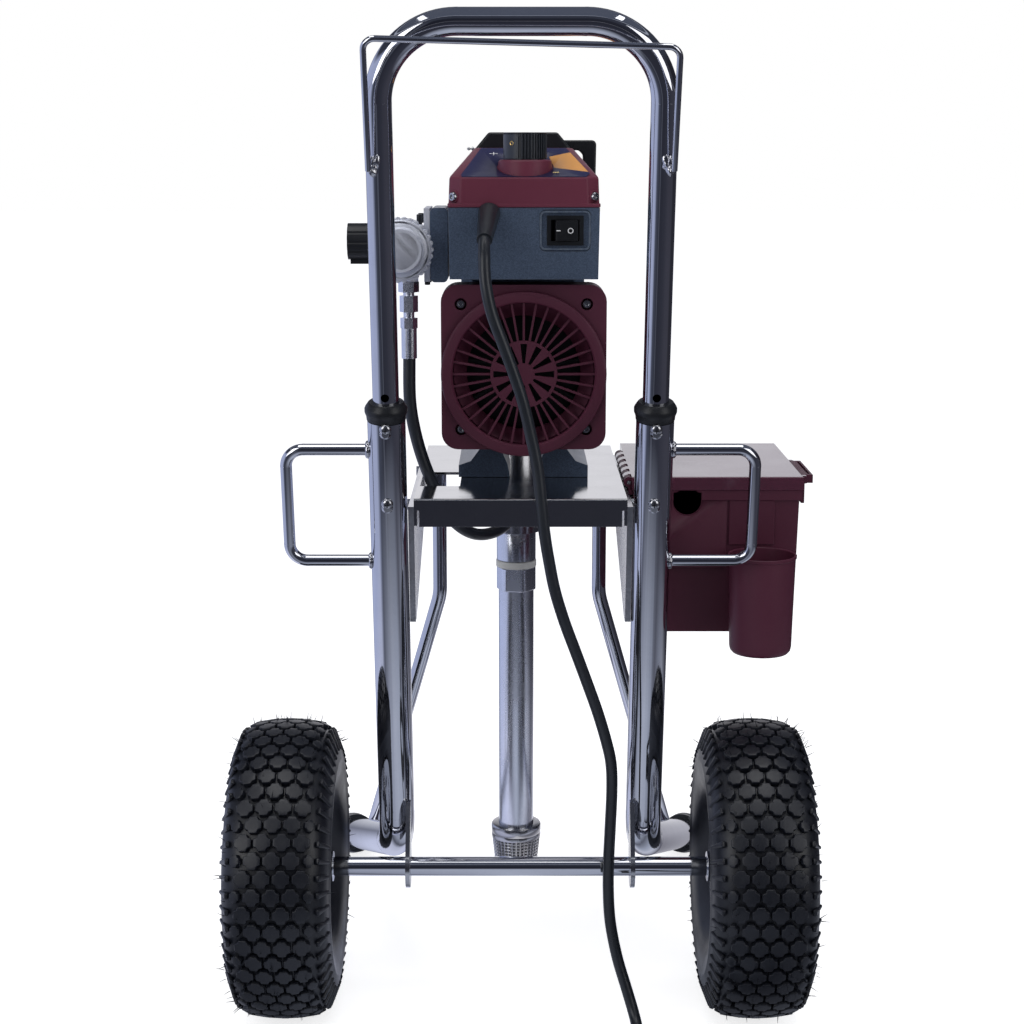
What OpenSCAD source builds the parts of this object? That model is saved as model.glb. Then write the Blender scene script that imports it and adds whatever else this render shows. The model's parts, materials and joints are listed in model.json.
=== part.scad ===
// Airless paint sprayer on a two-wheeled cart, in millimetres.
// X runs to the operator's right, Y away from the operator, Z up from the ground.

/* [Cart frame] */
// Outer diameter of the main frame tubes
frame_d = 32; // [28:1:36]
// Wall of the main frame tubes
frame_wall = 1.8; // [1.2:0.2:2.4]
// Distance between the centre lines of the two uprights
frame_span = 224; // [218:1:234]
// Lean of the uprights towards the operator, in degrees
frame_lean = 11.5; // [9:0.5:13]
// Height of the uprights' open upper ends
frame_top = 545; // [535:1:560]
// Centre line radius of the bend from upright to leg
leg_bend = 50; // [40:5:60]
// Sideways distance between the two feet
foot_span = 366; // [340:2:380]
// Distance of the feet in front of the axle
foot_reach = 380; // [350:5:400]
// Diameter of a rubber foot's round end
foot_d = 44; // [40:1:50]

/* [Handle] */
// Outer diameter of the sliding handle tube
handle_d = 22; // [20:1:24]
// Height of the centre of the handle's top bar
handle_top = 863; // [840:1:900]
// Centre line radius of the handle's corners
handle_bend = 62; // [50:1:75]
// Length of handle tube that stays inside the uprights when raised
handle_insert = 90; // [80:5:100]
// Wire diameter of the hose hook
hook_d = 5; // [4:0.5:6]
// Distance that the hose hook stands off the handle at its top bar
hook_reach = 35; // [28:1:50]
// Outer diameter of a handle collar
collar_d = 35; // [33:0.5:39]

/* [Grab handles] */
// Rod diameter of the side grab handles
grab_d = 10; // [8:1:12]
// Distance from the centre plane to the outer bar of a grab handle
grab_out = 197.4; // [185:0.2:205]
// Height of the upper bar of the grab handles
grab_high = 519; // [505:1:525]
// Height of the lower bar of the grab handles
grab_low = 419.5; // [415:0.5:440]

/* [Wheels] */
// Outer diameter of the tyres
tyre_d = 265; // [255:1:270]
// Section width of the tyres
tyre_w = 92; // [84:1:96]
// Distance between the wheels' centre planes
track = 416; // [410:2:430]
// Diameter of the rim at the bead seat
rim_d = 101.6; // [98:0.2:104]
// Outer diameter of the axle tube
axle_d = 17.2; // [16:0.2:18]

/* [Platform] */
// Height of the platform's top face
platform_z = 476; // [470:1:482]
// Length of the platform, front to back
platform_len = 290; // [270:5:300]
// Depth of the folded edges of the platform
platform_lip = 24; // [18:1:28]
// Thickness of the platform's sheet
sheet = 2.5; // [2:0.5:3]
// Thickness of the gusset plates
gusset_t = 5; // [4:0.5:5]
// Outer diameter of the brace tubes
brace_d = 16; // [14:1:18]

/* [Motor] */
// Height of the motor's axis
motor_z = 578; // [575:1:582]
// Diameter of the motor's finned body
motor_d = 128; // [120:1:132]
// Width of the square fan cover
cover_w = 142; // [138:1:146]
// Height of the square fan cover
cover_h = 148; // [144:1:150]
// Number of radial ribs in the fan cover
cover_ribs = 40; // [24:1:44]
// Width of one fan cover rib
rib_w = 2.4; // [1.8:0.2:3]

/* [Control box] */
// Width of the control box
box_w = 128; // [122:1:130]
// Height of the control box
control_h = 60; // [56:1:62]
// Diameter of the pressure knob
knob_d = 37; // [34:1:42]
// Height of the pressure knob
knob_h = 22.5; // [18:0.5:26]
// Number of grips round the pressure knob
knob_ribs = 30; // [20:1:36]

/* [Fluid section] */
// Diameter of the filter bowl
bowl_d = 49; // [44:1:52]
// Diameter of the prime valve knob
prime_d = 31; // [28:1:34]
// Outer diameter of the threaded hose outlet
outlet_d = 13.2; // [12.6:0.2:16]
// Length of the threaded hose outlet
outlet_len = 15; // [12:1:20]
// Outer diameter of the pressure hose
hose_d = 11; // [9:0.5:12]
// Outer diameter of the suction tube
suction_d = 36; // [32:1:40]
// Height of the lower end of the strainer
strainer_z = 28; // [20:1:40]
// Stroke of the piston
stroke = 20; // [14:1:24]

/* [Tool box] */
// Width of the tool box lid
lid_w = 153; // [145:1:158]
// Length of the tool box lid, front to back
lid_len = 194; // [180:1:200]
// Height of the tool box with its lid
toolbox_h = 143; // [130:1:150]
// Wall of the tool box
toolbox_wall = 2.5; // [2:0.25:3]
// Diameter of the cup holder at its rim
cup_d = 60.6; // [56:0.2:61]
// Height of the cup holder
cup_h = 89; // [80:1:95]

/* [Power cord] */
// Diameter of the power cord
cord_d = 10; // [8:0.5:10]

/* [Hidden] */
$fn = 64;
gap = 0.3;              // seat gap between pieces that only touch
run = 0.06;             // radial running clearance of a shaft in its hole
far = 2000;             // longer than anything in the model

steel = "#b9bcc6";
maroon = "#5a2c3a";
slate = "#414c5a";
black = "#17171a";
alloy = "#aeb0b4";

// Driving places of the cart, measured from the axle's centre line at the ground
upright_x = frame_span / 2;
upright_y = -3;
upright_z = 320.6;
corner_z = 146;
axle_z = tyre_d / 2;
foot_z = foot_d / 2 - 0.5;
function lean_y(z) = upright_y - tan(frame_lean) * (z - upright_z);
function lean_at(x, z, dy = 0) = [x, lean_y(z) + dy, z];
leg_corner = lean_at(upright_x, corner_z);
leg_end = [foot_span / 2, foot_reach, foot_z];
leg_route = [lean_at(upright_x, frame_top), leg_corner, leg_end];

// Platform and plates between the uprights
gusset_x = upright_x - frame_d / 2 - gap - gusset_t;
platform_half = gusset_x - gap;
platform_back = -40;
gusset_z = platform_z - platform_lip / 3;
gusset_low = platform_z - 113;
axle_lug_x = 98.5;
lug_t = 4;

// Power unit
unit_x = 2.8;
cover_back = 10;
cover_depth = 36;
cover_low = platform_z + 31;
motor_back = cover_back + cover_depth;
motor_front = 184;
gear_front = 250;
control_z = motor_z + 79.8;
control_top = control_z + control_h;
control_len = 148;
cover_wall = 2.5;
panel_low = control_top + 25;
panel_high = control_top + 49;
panel_rise = 75;
knob_y = 25;
boss_d = 46;
boss_top = panel_low + 14.5;
switch_x = unit_x + box_w / 2 - 29.2;
switch_z = control_z + 41;
switch_w = 31;
switch_h = 25;
cord_exit = [-26.6, 0, control_top - 5];
boot_tip = [-30, -40, control_top - 25];

// Pump and drive
pump_x = unit_x - 5.8;
pump_y = 284;
crank_z = motor_z + 50;
crank_r = stroke / 2;
head_low = 524;
head_half = 46;
head_foot = 34;
head_crown = 30;
head_top = crank_z + 58;
head_back = gear_front + gap;
head_front = 330;
pump_low = 384;
pump_d = 52;
port_z = 430;

// Fluid section on the left
side_x = unit_x - box_w / 2;
block_w = 15;
flange_w = 5;
bowl_x = side_x - 40;
bowl_z = motor_z + 104.5;
bowl_back = -5;
bowl_front = 62;
prime_y = 26;
prime_z = bowl_z + 6;
fitting_y = 20;
fitting_x = bowl_x + 5.2;

// Tool box on the right
lid_x = 99.2;
lid_back = 45;
lid_top = 480;
lid_t = 12;
rim_t = 9;
hinge_x = lid_x - 2.6;
hinge_z = lid_top - 5;
hinge_d = 9;
hinge_pin_d = 3.2;
hinge_len = 152;
knuckles = 11;
body_inset = 3;
draft = 3;
latch_y = lid_back + 65;
latch_len = 78;
latch_out = 12;
latch_pin_d = 3;
notch_x = 149;
notch_w = 25;
cup_x = 212.7;
cup_top = 416.6;
cup_wall = 2.2;

// The origin is the middle of the object's own footprint, without its cord
reach_right = lid_x + lid_w + latch_out;
reach_left = track / 2 + tyre_w / 2;
hook_z = handle_top - 17;
hook_back = lean_y(hook_z) - hook_reach - hook_d / 2;
foot_front = foot_reach + foot_d / 2;
centre_x = (reach_right - reach_left) / 2;
centre_y = (foot_front + hook_back) / 2;
module rig() translate([-centre_x, -centre_y, 0]) children();
module both_sides() {
    children();
    mirror([1, 0, 0]) children();
}

// ---- Bars, bends and places along the leaning uprights ----
function unit(v) = v / norm(v);
function turn_at(p, i) = acos(unit(p[i] - p[i - 1]) * unit(p[i + 1] - p[i]));
function setback(p, i, r) = i <= 0 || i >= len(p) - 1 ? 0 : r * tan(turn_at(p, i) / 2);

// A straight round bar from p to q
module bar(p, q, d) {
    v = q - p;
    translate(p) rotate([0, acos(v[2] / norm(v)), atan2(v[1], v[0])]) cylinder(d = d, h = norm(v));
}

// A round bend of centre line radius r at inner point i of route p
module elbow(p, i, r, d) {
    u = unit(p[i] - p[i - 1]);
    w = unit(p[i + 1] - p[i]);
    inward = unit(w - u * (u * w));
    c = p[i] - u * setback(p, i, r) + inward * r;
    x = -inward;
    z = cross(x, u);
    multmatrix([[x[0], u[0], z[0], c[0]], [x[1], u[1], z[1], c[1]], [x[2], u[2], z[2], c[2]], [0, 0, 0, 1]])
        rotate_extrude(angle = turn_at(p, i)) translate([r, 0]) circle(d = d);
}

// A round bar along route p, bent to radius r at each inner point, with a thin band over each end of a bend
band = 0.6;
module bent_bar(p, r, d, ring = band) {
    last = len(p) - 1;
    for (i = [0:last - 1]) {
        u = unit(p[i + 1] - p[i]);
        a = p[i] + u * setback(p, i, r);
        b = p[i + 1] - u * setback(p, i + 1, r);
        bar(a + u * (i == 0 ? 0 : ring / 3), b - u * (i == last - 1 ? 0 : ring / 3), d);
        if (i > 0) bar(a - u * ring, a + u * 2 * ring, d + 0.1);
        if (i < last - 1) bar(b - u * 2 * ring, b + u * ring, d + 0.1);
    }
    for (i = [1:1:last - 1]) elbow(p, i, r, d);
}

// The same route, longer by e at each end, for the bore of a tube
function longer(p, e) = let (n = len(p) - 1) [
    for (i = [0:n]) i == 0 ? p[0] - unit(p[1] - p[0]) * e : i == n ? p[n] + unit(p[n] - p[n - 1]) * e : p[i]
];
module bent_tube(p, r, d, wall) difference() {
    bent_bar(p, r, d);
    bent_bar(longer(p, 1), r, d - 2 * wall);
}
module on_upright(z) translate(lean_at(upright_x, z)) rotate([frame_lean, 0, 0]) children();
module along_y(x, y, z) translate([x, y, z]) rotate([-90, 0, 0]) children();
module along_x(x, y, z) translate([x, y, z]) rotate([0, 90, 0]) children();
module block(x0, x1, y0, y1, z0, z1) translate([x0, y0, z0]) cube([x1 - x0, y1 - y0, z1 - z0]);
module rounded(w, h, r) {
    square([w - 2 * r, h], center = true);
    square([w, h - 2 * r], center = true);
    for (x = [-1, 1], y = [-1, 1]) translate([x * (w / 2 - r), y * (h / 2 - r)]) circle(r);
}
// A plate in the X-Z plane, from its near face at y towards the front
module plate_xz(y, t) translate([0, y + t, 0]) rotate([90, 0, 0]) linear_extrude(t) children();
// A plate in the Y-Z plane, from its left face at x to the right
module plate_yz(x, t) translate([x, 0, 0]) rotate([90, 0, 90]) linear_extrude(t) children();

// ---- Cart ----
module frame_tube() bent_tube(leg_route, leg_bend, frame_d, frame_wall);
module frame_core(extra) bent_bar(leg_route, leg_bend, frame_d + 2 * extra);
screw_z = [frame_top - 6.5, frame_top - 71.5];
screw_d = 4;
module screw_holes() for (z = screw_z) on_upright(z) rotate([90, 0, 0])
    cylinder(d = screw_d + 0.4, h = frame_d);
module drilled_tube() difference() {
    frame_tube();
    screw_holes();
}
module frame_tube_right() color(steel) rig() drilled_tube();
module frame_tube_left() color(steel) rig() mirror([1, 0, 0]) drilled_tube();

foot_sleeve = 34;
module foot() {
    back = unit(leg_corner - leg_end);
    difference() {
        union() {
            translate(leg_end) sphere(d = foot_d);
            bar(leg_end, leg_end + back * foot_sleeve, foot_d - 3);
        }
        bar(leg_end, leg_end + back * far, frame_d);
        translate([leg_end[0], leg_end[1], -foot_d / 2]) cube(foot_d, center = true);
    }
}
module rubber_feet() color(black) rig() both_sides() foot();

hub_half = 36;
cap_t = 8;
axle_half = track / 2 + hub_half + 6;
shoulder_t = 4;
module axle() color(steel) rig() difference() {
    union() {
        along_x(-axle_half, 0, axle_z) cylinder(d = axle_d, h = 2 * axle_half);
        both_sides() along_x(track / 2 - hub_half - gap - shoulder_t, 0, axle_z)
            cylinder(d = 27, h = shoulder_t);
    }
    along_x(-axle_half - 1, 0, axle_z) cylinder(d = axle_d - 5, h = 2 * axle_half + 2);
}
module axle_caps() color(steel) rig() both_sides() along_x(track / 2 + hub_half + gap, 0, axle_z) {
    difference() {
        cylinder(d = 28, h = cap_t);
        translate([0, 0, -1]) cylinder(d = axle_d, h = cap_t - 1);
    }
}

lug_r = 19;
lug_top = [16, 190];
module axle_lugs() color(steel) rig() both_sides() difference() {
    plate_yz(axle_lug_x, lug_t) {
        translate([0, axle_z]) circle(lug_r);
        polygon([[-lug_r, axle_z], [lug_top[0] - 9, lug_top[1]], [lug_top[0], lug_top[1]], [lug_r, axle_z]]);
    }
    along_x(0, 0, axle_z) cylinder(d = axle_d, h = far);
    frame_core(gap / 2);
}

module grab_handle() difference() {
    bent_bar([lean_at(upright_x, grab_high), lean_at(grab_out, grab_high), lean_at(grab_out, grab_low),
        lean_at(upright_x, grab_low)], 15, grab_d);
    frame_core(gap / 2);
}
module grab_handle_right() color(steel) rig() grab_handle();
module grab_handle_left() color(steel) rig() mirror([1, 0, 0]) grab_handle();

hose_notch = [35, 22, 72];
module platform() color(steel) rig() {
    corner = 9;
    difference() {
        block(-platform_half, platform_half, platform_back, platform_back + platform_len,
            platform_z - platform_lip, platform_z);
        block(-platform_half + sheet, platform_half - sheet, platform_back + sheet,
            platform_back + platform_len - sheet, platform_z - platform_lip - 1, platform_z - sheet);
        for (x = [-1, 1], y = [platform_back, platform_back + platform_len])
            translate([x * platform_half, y, platform_z - platform_lip]) cube([corner, corner, 28], center = true);
        block(-platform_half + sheet, -platform_half + sheet + hose_notch[0], hose_notch[1],
            hose_notch[1] + hose_notch[2], platform_z - 2 * sheet, platform_z + 1);
        both_sides() platform_bolts(0.2);
    }
}
module gussets() color(steel) rig() both_sides() difference() {
    front = platform_back + platform_len - 10;
    plate_yz(gusset_x, gusset_t) polygon([[lean_y(gusset_z), gusset_z], [front, gusset_z], [front, gusset_z - 18],
        [lean_y(gusset_low) + 12, gusset_low], [lean_y(gusset_low) - 4, gusset_low]]);
    platform_bolts(0.2);
    toolbox_bolts(0.2);
}
brace_route = [[78, 205, platform_z], [78, 205, 335], [150, 250, 80]];
module braces() color(steel) rig() both_sides() difference() {
    bent_tube(brace_route, 40, brace_d, 1.5);
    frame_core(gap / 2);
    block(0, 200, 0, 300, platform_z - sheet - gap, far);
}

// Screws of the uprights, bolts of the platform and bolts of the tool box
bolt_d = 6;
bolt_y = [10, 180];
bolt_z = platform_z - 14;
nut_t = 3;
toolbox_bolt_y = [lid_back + 40, lid_back + 120];
toolbox_bolt_z = platform_z - 33;
module platform_bolts(extra) for (y = bolt_y)
    along_x(platform_half - sheet - gap - nut_t, y, bolt_z) cylinder(d = bolt_d + 2 * extra, h = gusset_t + sheet + 2 * gap + 2 * nut_t);
module toolbox_bolts(extra) for (y = toolbox_bolt_y)
    along_x(gusset_x - gap - nut_t, y, toolbox_bolt_z)
        cylinder(d = bolt_d + 2 * extra, h = toolbox_seat + toolbox_wall + nut_t + 2 * gap - gusset_x + nut_t);
module hex(x, y, z, t = nut_t) along_x(x, y, z) cylinder(d = 10, h = t, $fn = 6);
module button_screw() {
    cylinder(d = screw_d, h = 2.6);
    translate([0, 0, 2.6]) cylinder(d1 = 10, d2 = 6, h = 2.6);
}
module frame_bolts() color(steel) rig() {
    both_sides() {
        for (z = screw_z) on_upright(z) rotate([90, 0, 0]) translate([0, 0, frame_d / 2 - 2.2]) button_screw();
        platform_bolts(-0.1);
        for (y = bolt_y) {
            hex(platform_half - sheet - gap - nut_t, y, bolt_z);
            hex(gusset_x + gusset_t + gap, y, bolt_z);
        }
    }
    toolbox_bolts(-0.1);
    for (y = toolbox_bolt_y) {
        hex(gusset_x - gap - nut_t, y, toolbox_bolt_z);
        along_x(gusset_x + gusset_t + gap, y, toolbox_bolt_z)
            cylinder(d = 12, h = toolbox_seat - gusset_x - gusset_t - 2 * gap);
        hex(toolbox_seat + toolbox_wall + gap + 0.6, y, toolbox_bolt_z);
    }
}

// ---- Handle ----
handle_low = frame_top - handle_insert;
handle_route = [lean_at(-upright_x, handle_low), lean_at(-upright_x, handle_top), lean_at(upright_x, handle_top),
    lean_at(upright_x, handle_low)];
handle_wall = 1.8;
module handle() color(steel) rig() difference() {
    bent_tube(handle_route, handle_bend, handle_d, handle_wall);
    both_sides() on_upright(frame_top + 22) rotate([90, 0, 0]) cylinder(d = 7, h = handle_d);
}
hook_out = upright_x + 8;
module hose_hook() color(steel) rig() difference() {
    bent_bar([
        lean_at(-upright_x, hook_z - 94, -4), lean_at(-hook_out, hook_z - 90, -14),
        lean_at(-hook_out, hook_z, -hook_reach), lean_at(hook_out, hook_z, -hook_reach),
        lean_at(hook_out, hook_z - 90, -14), lean_at(upright_x, hook_z - 94, -4)
    ], 6, hook_d, band / 2);
    both_sides() bar(lean_at(upright_x, hook_z - 130), lean_at(upright_x, hook_z - 60), handle_d + gap);
}
module handle_collars() color(black) rig() both_sides() difference() {
    on_upright(frame_top) difference() {
        union() {
            translate([0, 0, gap]) cylinder(d = collar_d, h = 9);
            translate([0, 0, gap + 9]) cylinder(d1 = collar_d, d2 = handle_d + 7, h = 7);
            translate([0, 0, -28]) cylinder(d = frame_d - 2 * frame_wall - 0.2, h = 30);
        }
        translate([0, 0, -30]) cylinder(d = handle_d + 2 * run, h = 50);
    }
    screw_holes();
}

// ---- Wheels ----
bead_r = rim_d / 2;
module turned(n = 96) rotate([0, 90, 0]) rotate_extrude($fn = n) children();
function mirrored(p) = concat(p, [for (i = [len(p) - 1:-1:0]) [p[i][0], -p[i][1]]]);
// Half profiles as [radius, distance from the centre plane], outside first
function wall_r(k) = lerp(bead_r + 13, axle_z - 18, k);
function tyre_half(t) = [
    [axle_z - tread_h - t, 0], [axle_z - 0.9 - tread_h - t, tyre_w * 0.17], [axle_z - 2.5 - tread_h - t, tyre_w * 0.31],
    [axle_z - 5 - tread_h - t, tyre_w * 0.41 - t / 2], [axle_z - 18 - t / 2, tyre_w * 0.485 - t],
    [wall_r(0.72), tyre_w / 2 - t], [wall_r(0.45), tyre_w * 0.49 - t],
    [wall_r(0.17), tyre_w * 0.44 - t], [wall_r(0), flange_x + 1.5 - t], [bead_r + 10, flange_x + 0.4 - t]
];
tread_h = 4.6;
tread_rows = 24;
// Tread blocks of the two rows as [distance from the centre plane, drop from the crown, lean, size]
row_a = [for (s = [-1, 1]) each [[s * tyre_w * 0.1, 0.5, s * 3, 0.17], [s * tyre_w * 0.3, 2.8, s * 11, 0.17]]];
row_b = concat([[0, 0, 0, 0.17]], [for (s = [-1, 1]) each
    [[s * tyre_w * 0.2, 1.3, s * 6, 0.17], [s * tyre_w * 0.385, 5.6, s * 25, 0.1]]]);
module tread_row(row, turn) for (k = [0:tread_rows - 1], b = row)
    rotate([turn + k * 360 / tread_rows, 0, 0]) translate([b[0], 0, axle_z - b[1]]) rotate([0, b[2], 0])
        translate([0, 0, -tread_h - 2]) cylinder(d = tyre_w * b[3], h = tread_h + 2, $fn = 6);
module tyre(side) color(black) rig() translate([side * track / 2, 0, axle_z]) difference() {
    union() {
        turned(128) polygon(mirrored(concat(tyre_half(0), [[bead_r + 0.1, flange_x - 0.3]])));
        tread_row(row_b, 0);
        tread_row(row_a, 180 / tread_rows);
    }
    turned(128) polygon(mirrored(concat(tyre_half(6), [[bead_r + 3, tyre_w * 0.24], [bead_r - 1, tyre_w * 0.24]])));
}
flange_x = tyre_w * 0.31 + 0.4;
hub_d = 30;
bush_d = 24;
rim_wall = 2.5;
disc_in = 8;
disc_out = 16;
function rim_half() = [
    [bush_d / 2, hub_half], [hub_d / 2, hub_half], [hub_d / 2, disc_in + rim_wall],
    [bead_r - rim_wall, disc_out + rim_wall], [bead_r - rim_wall, flange_x + rim_wall],
    [bead_r + 11, flange_x + rim_wall + 1], [bead_r + 11, flange_x + 1], [bead_r, flange_x]
];
function rim_cavity() = [[hub_d / 2, disc_in], [bead_r - rim_wall, disc_out]];
module rim(side) color(steel) rig() translate([side * track / 2, 0, axle_z]) difference() {
    turned() difference() {
        polygon(mirrored(rim_half()));
        polygon(mirrored(rim_cavity()));
    }
    for (a = [45:90:315]) rotate([a, 0, 0]) along_x(-40, 0, 32) cylinder(d = 14, h = 80);
}
module hub_bushes(side) color(alloy) rig() translate([side * track / 2, 0, axle_z]) for (s = [-1, 1]) {
    turned(64) difference() {
        translate([0, s > 0 ? hub_half - 16 : -hub_half]) square([bush_d / 2 - 0.02, 16]);
        translate([0, -hub_half - 1]) square([axle_d / 2 + run, 2 * hub_half + 2]);
    }
}
module tyre_left() tyre(-1);
module tyre_right() tyre(1);
module rim_left() rim(-1);
module rim_right() rim(1);
module hub_bushes_left() hub_bushes(-1);
module hub_bushes_right() hub_bushes(1);

// ---- Motor ----
fins = 28;
stator_d = motor_d - 18;
shaft_d = 12;
module motor_foot(s) plate_xz(motor_back + 20, 90) polygon([
    [unit_x + s * 12, platform_z + gap], [unit_x + s * 58, platform_z + gap], [unit_x + s * 58, platform_z + 11],
    [unit_x + s * 47, platform_z + 15], [unit_x + s * 36, platform_z + 30], [unit_x + s * 36, motor_z - 30],
    [unit_x + s * 22, motor_z - 30], [unit_x + s * 22, platform_z + 30], [unit_x + s * 14, platform_z + 12]
]);
module motor_housing() color(slate) rig() difference() {
    union() {
        along_y(unit_x, motor_back + gap, motor_z) cylinder(d = motor_d - 10, h = motor_front - motor_back - gap);
        for (k = [0:fins - 1]) translate([unit_x, 0, motor_z]) rotate([0, k * 360 / fins, 0])
            block(-1.5, 1.5, motor_back + 6, motor_front - 8, motor_d / 2 - 8, motor_d / 2);
        for (s = [-1, 1]) motor_foot(s);
        plate_xz(motor_back + gap, 6) cover_outline(3);
        block(unit_x - 45, unit_x + 45, motor_back + 10, motor_front - 10, motor_z + 40, control_z - gap);
    }
    along_y(unit_x, motor_back - 1, motor_z) cylinder(d = stator_d, h = motor_front - motor_back - 9);
    along_y(unit_x, motor_back, motor_z) cylinder(d = shaft_d + 2 * run, h = motor_front);
    control_studs(0.2);
    for (x = [-1, 1], z = cover_screw_y) along_y(unit_x + x * cover_screw_x, motor_back - 1, z) cylinder(d = 4.4, h = 9);
}
module motor_stator() color("#8a5a3c") rig() along_y(unit_x, motor_back + 20, motor_z) difference() {
    cylinder(d = stator_d - 0.1, h = 90);
    translate([0, 0, -1]) cylinder(d = 74, h = 92);
}
shaft_back = cover_back + 14;
module motor_rotor() color(alloy) rig() {
    along_y(unit_x, motor_back + 22, motor_z) cylinder(d = 72, h = 86);
    along_y(unit_x, shaft_back, motor_z) cylinder(d = shaft_d, h = motor_front + 22 - shaft_back);
    along_y(unit_x, motor_front + 16, motor_z) difference() {
        cylinder(d = pinion_d, h = 20);
        for (k = [0:pinion_teeth - 1]) rotate(k * 360 / pinion_teeth)
            translate([pinion_d / 2, 0, -1]) cylinder(d = 2.4, h = 22);
    }
}
fan_d = 104;
blades = 9;
module cooling_fan() color(black) rig() translate([unit_x, 0, motor_z]) difference() {
    union() {
        along_y(0, shaft_back + 1, 0) cylinder(d = 26, h = 16);
        for (k = [0:blades - 1]) rotate([0, k * 360 / blades, 0])
            block(-1.2, 1.2, shaft_back + 2, shaft_back + 16, 12, fan_d / 2);
        along_y(0, shaft_back + 15, 0) cylinder(d = fan_d, h = 2);
    }
    along_y(0, 0, 0) cylinder(d = shaft_d, h = 100);
}
ring_z = motor_z - 0.7;
ring_d = cover_w + 0.4;
hub_grille_r = 27;
rib_out = ring_d / 2 - 10;
module cover_outline(inset) {
    c = 16;
    w = cover_w / 2 - inset;
    top = cover_low + cover_h - inset;
    low = cover_low + inset;
    polygon([
        [unit_x - w, low + c], [unit_x - w + c, low], [unit_x + w - c, low], [unit_x + w, low + c],
        [unit_x + w, top - c], [unit_x + w - c, top], [unit_x - w + c, top], [unit_x - w, top - c]
    ]);
}
cover_screw_x = 54;
cover_screw_y = [cover_low + 21, cover_low + cover_h - 21];
module fan_cover() color(maroon) rig() difference() {
    union() {
        difference() {
            plate_xz(cover_back, cover_depth) cover_outline(0);
            plate_xz(cover_back + 3, cover_depth) cover_outline(2.5);
            along_y(unit_x, cover_back - 1, ring_z) cylinder(r = rib_out, h = 6);
        }
        for (x = [-1, 1], z = cover_screw_y) along_y(unit_x + x * cover_screw_x, cover_back + 1, z)
            cylinder(d = 13, h = cover_depth - 1);
        along_y(unit_x, cover_back - 6, ring_z) difference() {
            cylinder(d = ring_d, h = 12);
            translate([0, 0, -1]) cylinder(r = rib_out, h = 14);
        }
        for (k = [0:cover_ribs - 1]) translate([unit_x, 0, ring_z]) rotate([0, k * 360 / cover_ribs, 0])
            block(-rib_w / 2, rib_w / 2, cover_back - 2.5, cover_back + 3, hub_grille_r, rib_out + 1);
        along_y(unit_x, cover_back - 3, ring_z) difference() {
            cylinder(r = hub_grille_r + 1.5, h = 5);
            translate([0, 0, -1]) cylinder(r = hub_grille_r - 1, h = 7);
        }
        for (k = [0:10]) translate([unit_x, 0, ring_z]) rotate([0, k * 360 / 11, 0])
            block(-1.6, 1.6, cover_back - 2.5, cover_back + 1, 4, hub_grille_r);
        along_y(unit_x, cover_back - 3, ring_z) cylinder(r = 8, h = 5);
    }
    for (x = [-1, 1], z = cover_screw_y) along_y(unit_x + x * cover_screw_x, cover_back - 1, z) {
        cylinder(d = 9.5, h = 7);
        cylinder(d = 4.4, h = far);
    }
}
cover_side_z = panel_low - 16;
module cover_screws() color(steel) rig() {
    for (x = [-1, 1], z = cover_screw_y) along_y(unit_x + x * cover_screw_x, cover_back + 3, z) {
        difference() {
            cylinder(d = 8, h = 3);
            translate([0, 0, -0.1]) cylinder(d = 4, h = 1.6, $fn = 6);
        }
        cylinder(d = 4, h = cover_depth + 2);
    }
    for (s = [-1, 1]) along_x(unit_x + s * (box_w / 2 - cover_side), 6, cover_side_z) translate([0, 0, s > 0 ? 0 : -3])
        cylinder(d = 6, h = 3);
}
cover_side = 1.5;

// ---- Drive ----
gear_half = 58;
pinion_teeth = 10;
pinion_d = 20;
crank_gear_d = 2 * norm([unit_x - pump_x, crank_z - motor_z]) - pinion_d - 2 * gap;
gear_teeth = 39;
gear_y = motor_front + 18;
gear_t = 16;
crank_pin_d = 14;
crank_shaft_d = 24;
rod_eye_d = 30;
rod_len = 36;
fork_low = head_low + 16;
fork_high = crank_z - crank_r - rod_eye_d / 2 - stroke - 2;
module gear_housing() color(slate) rig() difference() {
    union() {
        plate_xz(motor_front, gear_front - motor_front) translate([unit_x, 0]) polygon([
            [-gear_half, motor_z - 40], [-40, motor_z - 62], [40, motor_z - 62], [gear_half, motor_z - 40],
            [gear_half, control_top - 1], [-gear_half, control_top - 1]
        ]);
    }
    along_y(unit_x, motor_front + 8, motor_z) cylinder(d = pinion_d + 4, h = gear_front - motor_front - 20);
    along_y(unit_x, motor_front - 1, motor_z) cylinder(d = shaft_d + 2 * run, h = 20);
    along_y(pump_x, motor_front + 12, crank_z) cylinder(d = crank_gear_d + 4, h = gear_front - motor_front - 24);
    along_y(pump_x, motor_front + 8, crank_z) cylinder(d = crank_shaft_d + 2 * run, h = far);
    handle_pegs(0.2);
}
rod_y = pump_y - 8;
module crank_gear() color(alloy) rig() translate([pump_x, 0, crank_z]) {
    difference() {
        along_y(0, gear_y, 0) cylinder(d = crank_gear_d, h = gear_t);
        for (k = [0:gear_teeth - 1]) rotate([0, (k + 0.5) * 360 / gear_teeth, 0])
            along_y(0, gear_y - 1, crank_gear_d / 2) cylinder(d = 3.2, h = gear_t + 2);
    }
    along_y(0, gear_y - 8, 0) cylinder(d = crank_shaft_d, h = rod_y - 5 - gear_y + 8);
    along_y(0, rod_y - 7, 0) cylinder(d = crank_shaft_d + 14, h = 6);
    along_y(0, rod_y - 2, -crank_r) cylinder(d = crank_pin_d, h = 24);
}
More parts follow.
